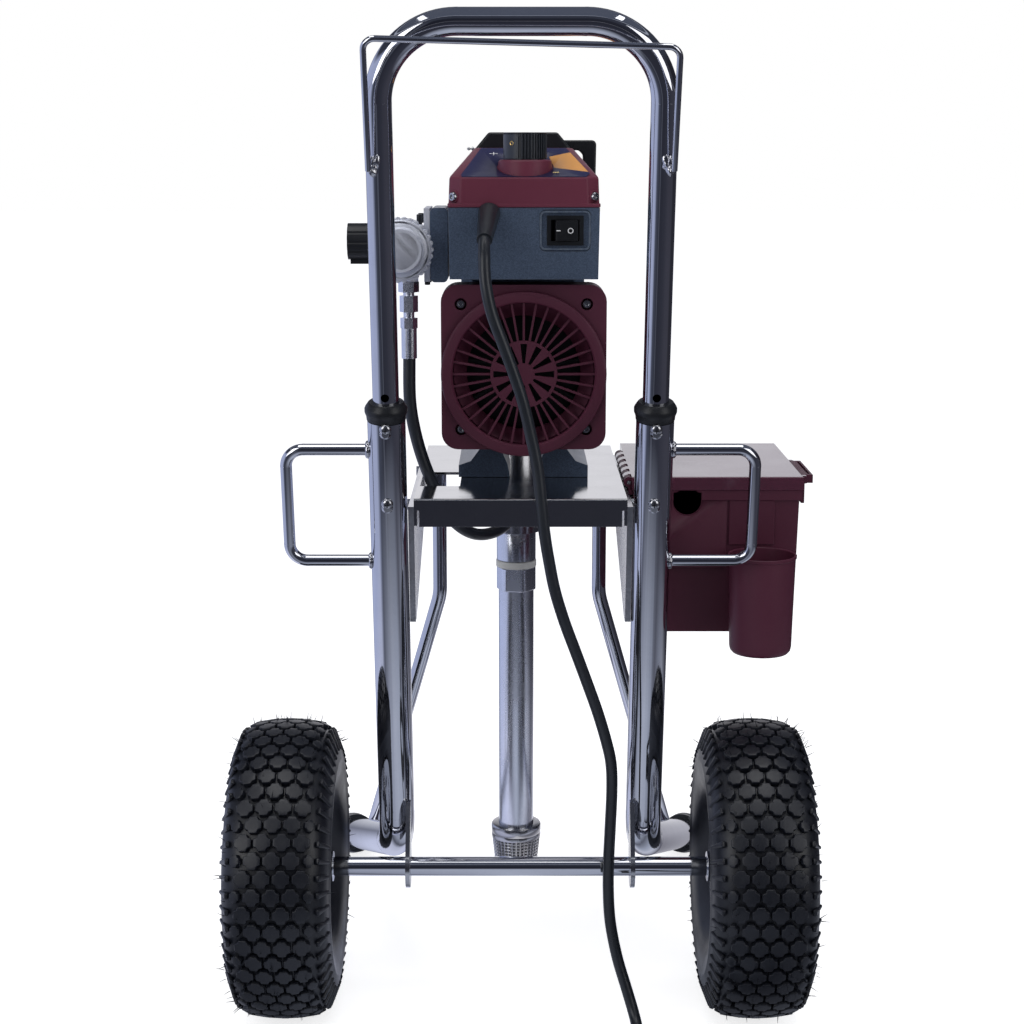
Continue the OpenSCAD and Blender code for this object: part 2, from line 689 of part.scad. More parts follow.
module connecting_rod() color(alloy) rig() translate([pump_x, rod_y, crank_z - crank_r]) difference() {
    union() {
        along_y(0, 0, 0) cylinder(d = rod_eye_d, h = 16);
        along_y(0, 2, -rod_len) cylinder(d = 18, h = 12);
        block(-6, 6, 3, 13, -rod_len, -8);
    }
    along_y(0, -1, 0) cylinder(d = crank_pin_d + 2 * run, h = 18);
    along_y(0, -1, -rod_len) cylinder(d = 8, h = 18);
}
slot_low = crank_z - crank_r - rod_len - 9 - stroke - 1;
module piston_rod() color(steel) rig() translate([pump_x, pump_y, 0]) {
    translate([0, 0, pump_low + 36]) cylinder(d = 14, h = fork_low - pump_low - 35);
    translate([0, 0, pump_low + 36]) cylinder(d = pump_bore - 2 * run, h = 14);
    difference() {
        block(-9, 9, -11, 11, fork_low, fork_high);
        block(-10, 10, -7, 7, slot_low, far);
    }
}
pump_bore = 32;
module pump_head() color(slate) rig() difference() {
    union() {
        plate_xz(head_back, head_front - head_back) translate([pump_x, 0]) polygon([
            [-head_half, head_low + 30], [-head_foot, head_low], [head_foot, head_low], [head_half, head_low + 30],
            [head_half, head_top - 18], [head_crown, head_top], [-head_crown, head_top], [-head_half, head_top - 18]
        ]);
    }
    // crank pocket, open over the whole swing of the connecting rod
    along_y(pump_x, head_back + 9, crank_z) cylinder(d = 62, h = head_front - head_back - 15);
    block(pump_x - 26, pump_x + 26, head_back + 9, head_front - 6, head_low + 9, crank_z);
    along_y(pump_x, head_back - 1, crank_z) cylinder(d = crank_shaft_d + 2 * run, h = 20);
    translate([pump_x, pump_y, head_low - 1]) cylinder(d = 40, h = 20);
}
top_back = control_len + 2.6;
top_half = 45;
top_ridge = 30.5;
top_high = 63;
top_mid = 34;
module top_outline(inset) translate([unit_x, 0]) polygon([
    [-top_half + inset, control_top - 1 + gap], [top_half - inset, control_top - 1 + gap],
    [top_half - inset, control_top + top_mid], [top_ridge - inset / 2, control_top + top_high - inset],
    [-top_ridge + inset / 2, control_top + top_high - inset], [-top_half + inset, control_top + top_mid]
]);
module top_cover() color(black) rig() difference() {
    plate_xz(top_back, gear_front - top_back) top_outline(0);
    plate_xz(top_back + cover_wall, gear_front - top_back - 2 * cover_wall) top_outline(cover_wall);
    block(unit_x - 40, unit_x + 40, top_back + cover_wall, gear_front - cover_wall, control_top - 3, control_top + 2);
}
grip_y = 215;
grip_d = 12;
grip_x = unit_x + gear_half + grip_d / 2 - 1;
grip_z = control_top + top_high - 13;
module handle_pegs(extra) along_x(unit_x + gear_half - 8, grip_y, control_top - 14) cylinder(d = 8 + 2 * extra, h = 14);
module carry_handle() color(black) rig() {
    difference() {
        bent_bar([[unit_x + 20, grip_y, grip_z], [grip_x, grip_y, grip_z], [grip_x, grip_y, control_top - 20]], 16, grip_d);
        plate_xz(0, far) top_outline(-gap);
        block(-far, unit_x + gear_half, 0, far, 0, control_top);
    }
    handle_pegs(0);
}

// ---- Control box ----
module control_studs(extra) for (x = [-30, 30], y = [motor_back + 24, motor_front - 46])
    translate([unit_x + x, y, control_z - 12]) cylinder(d = 6 + 2 * extra, h = 14);
module trapezoid_xz(w_low, w_high, z0, z1) translate([unit_x, 0])
    polygon([[-w_low / 2, z0], [w_low / 2, z0], [w_high / 2, z1], [-w_high / 2, z1]]);
module control_box() color(slate) rig() {
    difference() {
        plate_xz(0, control_len) trapezoid_xz(box_w - 2, box_w, control_z, control_top);
        plate_xz(4, control_len - 8) trapezoid_xz(box_w - 10, box_w - 8, control_z + 4, control_top + 1);
        // recess and opening of the switch
        translate([0, 1.8, 0]) rotate([90, 0, 0]) translate([switch_x, switch_z, 0]) linear_extrude(3)
            rounded(switch_w + 12, switch_h + 10, 5);
        plate_xz(-1, 10) translate([switch_x, switch_z]) square([switch_w - 3, switch_h - 3], center = true);
        along_y(cord_exit[0], -1, cord_exit[2] - 7) cylinder(d = 14, h = 10);
    }
    control_studs(0);
}
module cover_solid(inset) {
    z0 = control_top + gap;
    intersection() {
        plate_xz(-1, control_len + 2) translate([unit_x, 0]) polygon([
            [-box_w / 2 + inset, z0 - 1], [box_w / 2 - inset, z0 - 1], [box_w / 2 - 1.5 - inset, panel_low],
            [box_w / 2 - 1.5 - inset - (panel_high - panel_low) * 1.03, panel_high - inset],
            [-box_w / 2 + 1.5 + inset + (panel_high - panel_low) * 1.03, panel_high - inset],
            [-box_w / 2 + 1.5 + inset, panel_low]
        ]);
        plate_yz(-200, 400) polygon([
            [inset, z0 - (inset > 0 ? 1 : 0)], [control_len - inset, z0 - (inset > 0 ? 1 : 0)],
            [control_len - inset, panel_high - inset], [panel_rise, panel_high - inset], [inset, panel_low - inset]
        ]);
    }
}
panel_tilt = atan((panel_high - panel_low) / panel_rise);
knob_stem_d = 8;
module control_cover() color(maroon) rig() difference() {
    union() {
        difference() {
            cover_solid(0);
            cover_solid(cover_wall);
        }
        intersection() {
            translate([unit_x + 1, knob_y, panel_low - cover_wall]) cylinder(d = boss_d, h = boss_top - panel_low + cover_wall);
            translate([0, 0, 0]) plate_yz(-200, 400) polygon([[0, panel_low - 3], [200, panel_low + 60], [200, far], [0, far]]);
        }
    }
    translate([unit_x + 1, knob_y, panel_low - 30]) cylinder(d = knob_stem_d + 2 * run, h = 60);
    for (s = [-1, 1]) along_x(unit_x + s * (box_w / 2 - cover_side), 6, cover_side_z) translate([0, 0, -8])
        cylinder(d = 6.6, h = 16);
}
module panel_face() {
    inset = 6;
    d = panel_high - panel_low;
    polygon([[-box_w / 2 + inset + 5, 4], [box_w / 2 - inset - 5, 4], [box_w / 2 - inset - 5 - d + 4, panel_rise - 10],
        [-box_w / 2 + inset + 5 + d - 4, panel_rise - 10]]);
}
module control_label() color("#2d2d55") rig() difference() {
    translate([unit_x, 0, panel_low + 0.1]) rotate([panel_tilt, 0, 0]) linear_extrude(0.6) panel_face();
    translate([unit_x + 1, knob_y, panel_low - 30]) cylinder(d = boss_d + 1, h = 100);
}
module pressure_knob() color(black) rig() translate([unit_x + 1, knob_y, boss_top + gap]) {
    difference() {
        cylinder(d = knob_d, h = knob_h);
        for (k = [0:knob_ribs - 1]) if (abs(k - knob_ribs * 0.72) > 2) rotate(k * 360 / knob_ribs)
            translate([knob_d / 2 + 0.4, 0, -1]) cylinder(d = 2.6, h = knob_h - 2);
        rotate(knob_screw_turn) along_x(knob_d / 2 - 5, 0, knob_h / 2) cylinder(d = 4, h = 6);
    }
    translate([0, 0, -boss_top - gap + panel_low - 12]) cylinder(d = knob_stem_d, h = boss_top - panel_low + 14);
    rotate(knob_screw_turn) along_x(knob_d / 2 - 6, 0, knob_h / 2) cylinder(d = 3.8, h = 5);
}
knob_screw_turn = 250;
module switch_bezel() color(black) rig() translate([switch_x, 0, switch_z]) difference() {
    union() {
        plate_xz(-0.4, 1.9) square([switch_w, switch_h], center = true);
        plate_xz(1, 22) square([switch_w - 4, switch_h - 4], center = true);
    }
    plate_xz(-1, 20) square([rocker_w + 1, rocker_h + 1], center = true);
    translate([0, rocker_y, 0]) cylinder(d = rocker_pin_d + 2 * run, h = 50, center = true);
}
rocker_w = 23;
rocker_h = 17;
rocker_pin_d = 3;
rocker_y = 8;
rocker_tilt = 8;
module switch_rocker() color(black) rig() translate([switch_x, rocker_y, switch_z]) rotate([0, 0, rocker_tilt]) {
    translate([0, -rocker_y, 0]) plate_xz(-2.4, rocker_y + 2.4) square([rocker_w - 4, rocker_h], center = true);
    cylinder(d = rocker_pin_d, h = rocker_h + 2.4, center = true);
}
module strain_relief() color(black) rig() {
    v = boot_tip - cord_exit;
    difference() {
        union() {
            translate(cord_exit) rotate([0, acos(v[2] / norm(v)), atan2(v[1], v[0])])
                translate([0, 0, -2]) cylinder(d1 = 19, d2 = 13, h = norm(v) + 2);
        }
        block(-60, 20, -gap, 30, 600, 800);
        bar(boot_tip - unit(v) * 6, boot_tip + unit(v) * 5, cord_d);
    }
    along_y(cord_exit[0], -gap, cord_exit[2] - 7) cylinder(d = 13.6, h = 5);
}

// ---- Pump and suction set ----
module pump_cylinder() color(alloy) rig() translate([pump_x, pump_y, 0]) difference() {
    union() {
        translate([0, 0, pump_low]) cylinder(d = pump_d, h = head_low - pump_low - 14);
        translate([0, 0, pump_low + 30]) cylinder(d = 58, h = 24, $fn = 6);
        translate([0, 0, head_low - 20]) cylinder(d = 46, h = 20 - gap);
        translate([0, -20, port_z]) rotate([90, 0, 0]) cylinder(d = 22, h = 16);
    }
    translate([0, 0, pump_low + 20]) cylinder(d = pump_bore, h = 200);
    translate([0, 0, pump_low - 1]) cylinder(d = 20, h = 30);
    translate([0, -10, port_z]) rotate([90, 0, 0]) cylinder(d = 9, h = 30);
}
module packing_nut() color(alloy) rig() translate([pump_x, pump_y, head_low - 16]) difference() {
    union() {
        cylinder(d = pump_bore - 0.2, h = 16);
        translate([0, 0, 16]) cylinder(d = 38, h = 14);
    }
    translate([0, 0, -1]) cylinder(d = 14 + 2 * run, h = 40);
}
coupling_d = 40;
seal_z = 350;
module intake_seal() color("white") rig() translate([pump_x, pump_y, seal_z - 4]) difference() {
    cylinder(d = coupling_d + 1, h = 7);
    translate([0, 0, -1]) cylinder(d = suction_d - 4, h = 9);
}
strainer_ring_h = 15;
strainer_top = strainer_z + 42;
module suction_tube() color(steel) rig() translate([pump_x, pump_y, 0]) difference() {
    union() {
        translate([0, 0, strainer_top - 10]) cylinder(d = suction_d, h = 322 - strainer_top + 10);
        translate([0, 0, 322]) cylinder(d = coupling_d + 5, h = seal_z - 4 - 322 - gap, $fn = 6);
        translate([0, 0, 322]) cylinder(d = suction_d - 4.4, h = pump_low - 322 - gap);
        translate([0, 0, seal_z + 3 + gap]) cylinder(d = coupling_d, h = pump_low - seal_z - 3 - 2 * gap);
    }
    translate([0, 0, 0]) cylinder(d = suction_d - 9, h = far);
}
module suction_strainer() color(alloy) rig() translate([pump_x, pump_y, strainer_z]) difference() {
    union() {
        cylinder(d1 = 44, d2 = 50, h = strainer_top - strainer_z - strainer_ring_h);
        translate([0, 0, strainer_top - strainer_z - strainer_ring_h]) cylinder(d = 52, h = strainer_ring_h);
    }
    translate([0, 0, 2]) cylinder(d1 = 40, d2 = 46, h = strainer_top - strainer_z - strainer_ring_h - 2);
    translate([0, 0, 20]) cylinder(d = suction_d + 2 * run, h = 60);
    for (k = [0:15], z = [6, 15]) rotate(k * 22.5) along_x(10, 0, z) cylinder(d = 5, h = 30);
}

// ---- Manifold, filter and prime valve ----
block_back = 14;
block_len = 62;
block_z0 = control_z - 4;
module manifold_block() color(slate) rig() difference() {
    plate_xz(block_back, block_len) translate([side_x - block_w / 2 - gap - 0.5, (block_z0 + control_top) / 2])
        rounded(block_w, control_top - block_z0 - 1, 4);
    along_x(-far / 2, prime_y, bowl_z) cylinder(d = 10, h = far / 2 + side_x - 4);
    along_y(bowl_x, bowl_back, bowl_z) cylinder(d = bowl_d + 2 * gap, h = bowl_front + 1 - bowl_back);
}
flange_right = side_x - block_w - 2 * gap - 0.5;
module filter_bowl() color(alloy) rig() difference() {
    union() {
        along_y(bowl_x, bowl_back, bowl_z) cylinder(d = bowl_d, h = bowl_front - bowl_back);
        along_y(bowl_x, bowl_back - 8, bowl_z) cylinder(d = 36, h = 9);
        along_y(bowl_x, bowl_back + 10, bowl_z) cylinder(d = bowl_d + 3, h = 6);
        block(flange_right - flange_w, flange_right, block_back, block_back + block_len, block_z0 + 1, control_top - 1);
        along_x(bowl_x, prime_y, bowl_z) cylinder(d = 30, h = flange_right - bowl_x);
        translate([fitting_x, fitting_y, bowl_z - bowl_d / 2 - 3]) cylinder(d = 17, h = 16);
        along_y(bowl_x, bowl_front - 1, bowl_z) cylinder(d = 22, h = 6);
        along_y(bowl_x, bowl_front, bowl_z) cylinder(d = outlet_d, h = 5 + outlet_len);
        along_x(bowl_x - 25, prime_y, prime_z) cylinder(d = 20, h = 25);
    }
    along_y(bowl_x, bowl_back + 6, bowl_z) cylinder(d = bowl_d - 14, h = bowl_front - bowl_back - 12);
    along_y(bowl_x, bowl_front - 10, bowl_z) cylinder(d = 7, h = 40);
    along_x(bowl_x, prime_y, bowl_z) cylinder(d = 9, h = far);
    along_x(bowl_x - 40, prime_y, prime_z) cylinder(d = 8 + 2 * run, h = 40);
    translate([fitting_x, fitting_y, bowl_z - 60]) cylinder(d = 8, h = 60);
}
module filter_element() color("#c9c4a8") rig() along_y(bowl_x, bowl_back + 6 + gap, bowl_z) difference() {
    union() {
        cylinder(d = bowl_d - 14 - 0.2, h = 3);
        cylinder(d = 20, h = bowl_front - bowl_back - 12 - 2 * gap);
    }
    translate([0, 0, 3]) cylinder(d = 14, h = far);
    for (k = [0:7], y = [10, 20, 30, 40]) rotate(k * 45) translate([0, 0, y]) rotate([90, 0, 0]) cylinder(d = 3, h = 20);
}
prime_x = bowl_x - 26.5;
module prime_knob() color(black) rig() {
    difference() {
        union() {
            along_x(prime_x - 20, prime_y, prime_z) cylinder(d = prime_d, h = 20 - gap);
            block(prime_x - 18, prime_x - gap, prime_y - 4, prime_y + 4, prime_z - prime_d / 2 - 3.5, prime_z);
        }
        for (k = [0:11]) if (k != 3) translate([0, prime_y, prime_z]) rotate([k * 30, 0, 0])
            along_x(prime_x - 21, prime_d / 2 + 1.5, 0) cylinder(d = 4.5, h = 19);
    }
    along_x(prime_x - 1, prime_y, prime_z) cylinder(d = 8, h = 15);
}
fitting_top = bowl_z - bowl_d / 2 - 3 - gap;
ferrule_low = fitting_top - 66;
port_y = pump_y - 36 - gap;
module hose_fittings() color(steel) rig() {
    translate([fitting_x, fitting_y, 0]) difference() {
        union() {
            translate([0, 0, fitting_top - 9]) cylinder(d = 18, h = 9, $fn = 6);
            translate([0, 0, fitting_top - 26]) cylinder(d = 16, h = 14, $fn = 6);
            translate([0, 0, fitting_top - 60]) cylinder(d = 9.5, h = 60);
            translate([0, 0, fitting_top - 40]) cylinder(d = 15, h = 9, $fn = 6);
            translate([0, 0, ferrule_low]) cylinder(d = hose_d + 2.4, h = 26);
        }
        translate([0, 0, ferrule_low - 1]) cylinder(d = hose_d, h = 16);
    }
    translate([pump_x, port_y, port_z]) rotate([90, 0, 0]) difference() {
        union() {
            cylinder(d = 22, h = 14, $fn = 6);
            cylinder(d = 16, h = 44);
        }
        translate([0, 0, 28]) cylinder(d = hose_d, h = 20);
    }
}

// ---- Cords: a closed tube swept along a smooth route ----
function lerp(a, b, t) = a + (b - a) * t;
function spline(p, i, t) = let (n = len(p) - 1, a = p[max(i - 1, 0)], b = p[i], c = p[i + 1], d = p[min(i + 2, n)])
    0.5 * ((2 * b) + (c - a) * t + (2 * a - 5 * b + 4 * c - d) * t * t + (3 * b - a - 3 * c + d) * t * t * t);
function smooth(p, k) = [for (i = [0:len(p) - 2], s = [0:k - 1]) spline(p, i, s / k), p[len(p) - 1]];
function heading(p, i) = unit(p[min(i + 1, len(p) - 1)] - p[max(i - 1, 0)]);
function carried(v, t) = unit(v - t * (v * t));
function frames(p, v, i = 0) = i >= len(p) ? [] : let (w = carried(v, heading(p, i))) concat([w], frames(p, w, i + 1));
module tube(p, d, sides, first) {
    n = len(p);
    side = frames(p, first);
    pts = [for (i = [0:n - 1], k = [0:sides - 1]) let (a = k * 360 / sides, w = side[i], b = cross(heading(p, i), w))
        p[i] + (w * cos(a) + b * sin(a)) * d / 2];
    skin = [for (i = [0:n - 2], k = [0:sides - 1]) let (a = i * sides + k, b = i * sides + (k + 1) % sides)
        each [[a, b, b + sides], [a, b + sides, a + sides]]];
    ends = [for (k = [1:sides - 2]) each [[0, k + 1, k], [(n - 1) * sides, (n - 1) * sides + k, (n - 1) * sides + k + 1]]];
    polyhedron(points = pts, faces = [for (f = concat(skin, ends)) [f[0], f[2], f[1]]]);
}
hose_route = [
    [fitting_x, fitting_y, ferrule_low + 15 - gap], [fitting_x, fitting_y, ferrule_low],
    [-96, 20, 555], [-93, 22, 530], [-87, 30, 503], [-79, 41, 478], [-70, 52, 455], [-58, 66, 434], [-42, 82, 421],
    [-26, 105, 417], [-13, 135, 419], [-6, 165, 425], [pump_x, 190, port_z],
    [pump_x, port_y - 28 - gap, port_z]
];
module pressure_hose() color(black) rig() tube(smooth(hose_route, 3), hose_d - 2 * run, 10, [1, 0.2, 0]);

// Free cord: from the strain relief down past the platform and axle to the floor
floor_z = cord_d / 2 + 0.1;
cord_x = 104;
cord_route = [
    boot_tip - unit(boot_tip - cord_exit) * (6 - gap), boot_tip, [-30, -52, 682], [-29, -58, 660], [-24, -60, 635],
    [-15, -60, 610], [-6, -59, 585], [2, -58, 560], [9, -57, 530], [14, -57, 505], [17, -58, 478], [20, -58, 450],
    [24, -57, 425], [29, -56, 400], [37, -53, 373], [47, -49, 345], [57, -45, 317], [67, -42, 288], [75, -39, 260],
    [79, -36, 240], [80, -33, 215], [79, -31, 180], [78, -30, 150], [78, -30, 120], [80, -32, 92], [86, -37, 62],
    [94, -44, 36], [100, -52, 17], [103, -64, 7], [cord_x, -80, floor_z], [cord_x, -105, floor_z],
    [cord_x, -135, floor_z]
];
coil_turns = 2.375;
coil_in = 44;
coil_pitch = cord_d + 2.2;
coil_climb = cord_d + 1.2;
coil_start = 180;
coil_centre = [cord_x + coil_in + coil_pitch * coil_turns, -185];
coil_tail_len = 44;
coil_steps = 24;
coil_first = coil_turns * 360;
coil_total = 2 * coil_first + 180;
function coil_r(a) = coil_in + coil_pitch * (a < coil_first ? (coil_first - a) / 360
    : a < coil_first + 180 ? 0 : (a - coil_first - 180) / 360);
function coil_z(a) = floor_z + (a < coil_first ? 0 : a < coil_first + 180 ? coil_climb * (1 - cos(a - coil_first)) / 2
    : coil_climb);
function coil_point(a) = [coil_centre[0] + coil_r(a) * cos(coil_start + a),
    coil_centre[1] + coil_r(a) * sin(coil_start + a), coil_z(a)];
coil_out = [for (a = [0:360 / coil_steps:coil_total]) coil_point(a)];
coil_last = len(coil_out) - 1;
coil_lead = coil_out[0] - unit(coil_out[1] - coil_out[0]) * cord_d;
tail_dir = unit(coil_out[coil_last] - coil_out[coil_last - 1]);
coil_tail = coil_out[coil_last] + tail_dir * coil_tail_len;
coil_path = concat([coil_lead], coil_out, [coil_out[coil_last] + tail_dir * cord_d, coil_tail]);
// Least gap of the coil to itself, on points at least half a turn apart
coil_gaps = [for (i = [0:3:coil_last], j = [i + coil_steps / 2:1:coil_last]) norm(coil_out[i] - coil_out[j]) - cord_d];
echo(coil_least_gap = min(coil_gaps));
module cord_coil() color(black) rig() tube(coil_path, cord_d, 6, [0.5, 0.5, 0.7]);
module power_cord() color(black) rig() tube(smooth(concat(cord_route, cord_link), 2), cord_d, 8, [1, 0, 0]);
cord_link = [coil_lead - unit(coil_out[1] - coil_out[0]) * gap];
function route_length(p, i = 1) = i >= len(p) ? 0 : norm(p[i] - p[i - 1]) + route_length(p, i + 1);
echo(free = route_length(smooth(concat(cord_route, cord_link), 2)), coil = route_length(coil_path));
echo(coil_lead = coil_lead, coil_tail = coil_tail, centre = [centre_x, centre_y]);
module plug() color(black) rig() translate(coil_tail + tail_dir * gap)
    rotate([0, 90, atan2(tail_dir[1], tail_dir[0])]) {
        cylinder(d1 = 12, d2 = 17, h = 14);
        translate([0, 0, 14]) cylinder(d = 30, h = 24);
        for (s = [-1, 1]) translate([0, s * 9.5, 37]) cylinder(d = 4.8, h = 20);
    }

// ---- Tool box ----
toolbox_seat = lid_x + body_inset + 0.4;
module drafted(x0, x1, y0, y1, z0, z1, d) intersection() {
    plate_xz(y0 - 1, y1 - y0 + 2) polygon([[x0 + d, z0], [x1 - d, z0], [x1, z1], [x0, z1]]);
    plate_yz(x0 - 1, x1 - x0 + 2) polygon([[y0 + d, z0], [y1 - d, z0], [y1, z1], [y0, z1]]);
}
body_x1 = lid_x + lid_w - body_inset;
body_y0 = lid_back + body_inset;
body_y1 = lid_back + lid_len - body_inset;
body_top = lid_top - lid_t;
body_low = lid_top - toolbox_h;
knuckle = hinge_len / knuckles;
module hinge_row(first) for (k = [first:2:knuckles - 1])
    along_y(hinge_x, lid_back + 2 + k * knuckle + gap / 2, hinge_z) cylinder(d = hinge_d, h = knuckle - gap);
module hinge_webs(first, x0, x1, z0, z1) for (k = [first:2:knuckles - 1])
    block(x0, x1, lid_back + 2 + k * knuckle + gap / 2, lid_back + 2 + (k + 1) * knuckle - gap / 2, z0, z1);
module hinge_bore(extra) along_y(hinge_x, lid_back - 5, hinge_z) cylinder(d = hinge_pin_d + 2 * extra, h = hinge_len + 20);
module toolbox_body() color(maroon) rig() difference() {
    union() {
        difference() {
            union() {
                drafted(lid_x + body_inset, body_x1, body_y0, body_y1, body_low, body_top - gap, draft);
                block(lid_x + 1.5, lid_x + lid_w - 1, lid_back + 1, lid_back + lid_len - 1, body_top - gap - rim_t, body_top - gap);
            }
            drafted(lid_x + body_inset + toolbox_wall, body_x1 - toolbox_wall, body_y0 + toolbox_wall,
                body_y1 - toolbox_wall, body_low + toolbox_wall, body_top + 1, draft);
            block(notch_x - notch_w / 2, notch_x + notch_w / 2, 0, body_y0 + 10, body_low + 108 + notch_w / 2, body_top - gap - 2);
            along_y(notch_x, 0, body_low + 108 + notch_w / 2) cylinder(d = notch_w, h = body_y0 + 10);
        }
        hinge_row(0);
        hinge_webs(0, hinge_x - 0.4, hinge_x + hinge_d / 4, body_top - gap - 4, hinge_z - 2);
        hinge_webs(0, hinge_x - 0.4, lid_x + body_inset + 2, body_top - gap - 4, body_top - gap);
        // catch for the latch
        block(lid_x + lid_w - 2, lid_x + lid_w + 2.4, latch_y - 10, latch_y + 10, body_top - 9, body_top - 5);
    }
    hinge_clearance(1);
    hinge_bore(run);
    toolbox_bolts(0.2);
}
module hinge_clearance(first) for (k = [first:2:knuckles - 1])
    along_y(hinge_x, lid_back + 2 + k * knuckle - gap / 2, hinge_z) cylinder(d = hinge_d + 1.2, h = knuckle + gap);
module toolbox_lid() color(maroon) rig() difference() {
    union() {
        difference() {
            block(lid_x, lid_x + lid_w, lid_back, lid_back + lid_len, body_top, lid_top);
            block(lid_x + 5, lid_x + lid_w - 3, lid_back + 3, lid_back + lid_len - 3, body_top - 1, lid_top - 3);
        }
        hinge_row(1);
        hinge_webs(1, hinge_x, lid_x + 2, hinge_z + 0.5, lid_top);
        for (s = [-1, 1]) translate([0, latch_y + s * (latch_len / 2 + 3.2), 0]) {
            along_y(latch_x, -2.5, latch_z) cylinder(d = 7, h = 5);
            block(lid_x + lid_w - 2, latch_x, -2.5, 2.5, latch_z - 3.5, latch_z + 3.5);
        }
        along_y(latch_x, latch_y - latch_len / 2 - 2, latch_z) cylinder(d = latch_pin_d, h = latch_len + 4);
    }
    hinge_clearance(0);
    hinge_bore(run);
}
latch_x = lid_x + lid_w + 4.2;
latch_z = lid_top - 6;
module box_latch() color(maroon) rig() difference() {
    union() {
        along_y(latch_x, latch_y - latch_len / 2, latch_z) cylinder(d = 7, h = latch_len);
        block(latch_x, lid_x + lid_w + latch_out, latch_y - latch_len / 2, latch_y + latch_len / 2, latch_z - 4, latch_z + 3.5);
        block(lid_x + lid_w + 3, lid_x + lid_w + 6, latch_y - latch_len / 2 + 8, latch_y + latch_len / 2 - 8, latch_z - 24, latch_z);
    }
    along_y(latch_x, latch_y - latch_len, latch_z) cylinder(d = latch_pin_d + 2 * run, h = 2 * latch_len);
    block(latch_x + 3.5, lid_x + lid_w + latch_out - 2, latch_y - latch_len / 2 + 5, latch_y + latch_len / 2 - 5, latch_z - 10, latch_z + 10);
}
module hinge_pin() color(steel) rig() along_y(hinge_x, lid_back + 1, hinge_z)
    cylinder(d = hinge_pin_d, h = hinge_len + 4);
module cup_holder() color(maroon) rig() {
    cup_y = lid_back - gap - cup_d / 2 + 0.5;
    difference() {
        union() {
            translate([cup_x, cup_y, cup_top - cup_h]) cylinder(d1 = cup_d - 3.6, d2 = cup_d, h = cup_h);
            block(cup_x - 14, cup_x + 14, cup_y + 20, body_y0 + draft - 2.6, cup_top - cup_h + 12, cup_top - 3);
        }
        translate([cup_x, cup_y, cup_top - cup_h + cup_wall])
            cylinder(d1 = cup_d - 3.6 - 2 * cup_wall, d2 = cup_d - 2 * cup_wall, h = cup_h);
        drafted(lid_x + body_inset - gap, body_x1 + gap, body_y0 - gap, body_y1, body_low, body_top - gap, draft);
    }
}

frame_tube_left();
frame_tube_right();
rubber_feet();
axle();
axle_lugs();
axle_caps();
grab_handle_left();
grab_handle_right();
platform();
gussets();
braces();
frame_bolts();
handle();
hose_hook();
handle_collars();
tyre_left();
tyre_right();
rim_left();
rim_right();
hub_bushes_left();
hub_bushes_right();
motor_housing();
motor_stator();
motor_rotor();
cooling_fan();
fan_cover();
cover_screws();
gear_housing();
pump_head();
crank_gear();
connecting_rod();
piston_rod();
top_cover();
carry_handle();
control_box();
control_cover();
control_label();
pressure_knob();
switch_bezel();
switch_rocker();
strain_relief();
pump_cylinder();
packing_nut();
intake_seal();
suction_tube();
suction_strainer();
manifold_block();
filter_bowl();
filter_element();
prime_knob();
hose_fittings();
pressure_hose();
toolbox_body();
toolbox_lid();
hinge_pin();
box_latch();
cup_holder();
power_cord();
cord_coil();
plug();
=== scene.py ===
"""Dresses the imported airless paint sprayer: finishes, moulded and welded detail, cords, camera and light.

Lengths are written in millimetres from the axle's centre line on the ground and are turned into the
model's own frame in metres by `at`.
"""
from __future__ import annotations

import json
import logging
import math
import random
from dataclasses import dataclass, field, replace
from enum import Enum
from typing import Callable, Iterable, Sequence

import bmesh
import bpy
from mathutils import Matrix, Vector

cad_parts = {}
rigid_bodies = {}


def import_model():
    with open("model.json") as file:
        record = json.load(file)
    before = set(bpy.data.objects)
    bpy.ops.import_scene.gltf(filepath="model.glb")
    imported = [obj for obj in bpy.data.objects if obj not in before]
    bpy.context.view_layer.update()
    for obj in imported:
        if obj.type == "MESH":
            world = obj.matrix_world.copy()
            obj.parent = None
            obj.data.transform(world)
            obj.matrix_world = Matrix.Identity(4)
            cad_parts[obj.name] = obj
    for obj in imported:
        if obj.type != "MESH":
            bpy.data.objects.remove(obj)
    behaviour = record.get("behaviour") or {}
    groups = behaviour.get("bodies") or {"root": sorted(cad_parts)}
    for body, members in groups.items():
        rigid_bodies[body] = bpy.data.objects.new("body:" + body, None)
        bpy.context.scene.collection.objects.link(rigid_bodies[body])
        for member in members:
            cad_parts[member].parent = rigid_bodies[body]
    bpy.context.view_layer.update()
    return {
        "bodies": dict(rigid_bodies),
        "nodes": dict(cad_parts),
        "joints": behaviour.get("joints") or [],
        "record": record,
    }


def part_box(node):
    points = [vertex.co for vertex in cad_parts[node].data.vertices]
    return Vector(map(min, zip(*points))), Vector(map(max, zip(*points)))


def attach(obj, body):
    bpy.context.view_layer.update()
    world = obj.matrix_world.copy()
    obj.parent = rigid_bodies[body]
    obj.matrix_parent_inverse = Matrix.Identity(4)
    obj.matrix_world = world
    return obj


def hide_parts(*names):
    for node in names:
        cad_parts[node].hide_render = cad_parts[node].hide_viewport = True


LOG = logging.getLogger("sprayer")
MM = 0.001
MERGE = 2e-6
SHARP = 35.0
CEILING = (0.095, 0.108, 0.145, 1)
CORNER_SCREW_Z = 726.8
ORIGIN = Vector((5.1, 127.303, 0.0))
LEAN = math.radians(11.5)
Point = Sequence[float]
Colour = tuple[float, float, float]
Outline = Sequence[tuple[float, float]]
Piece = bpy.types.Object
Output = bpy.types.NodeSocket
SIDES = (-1, 1)
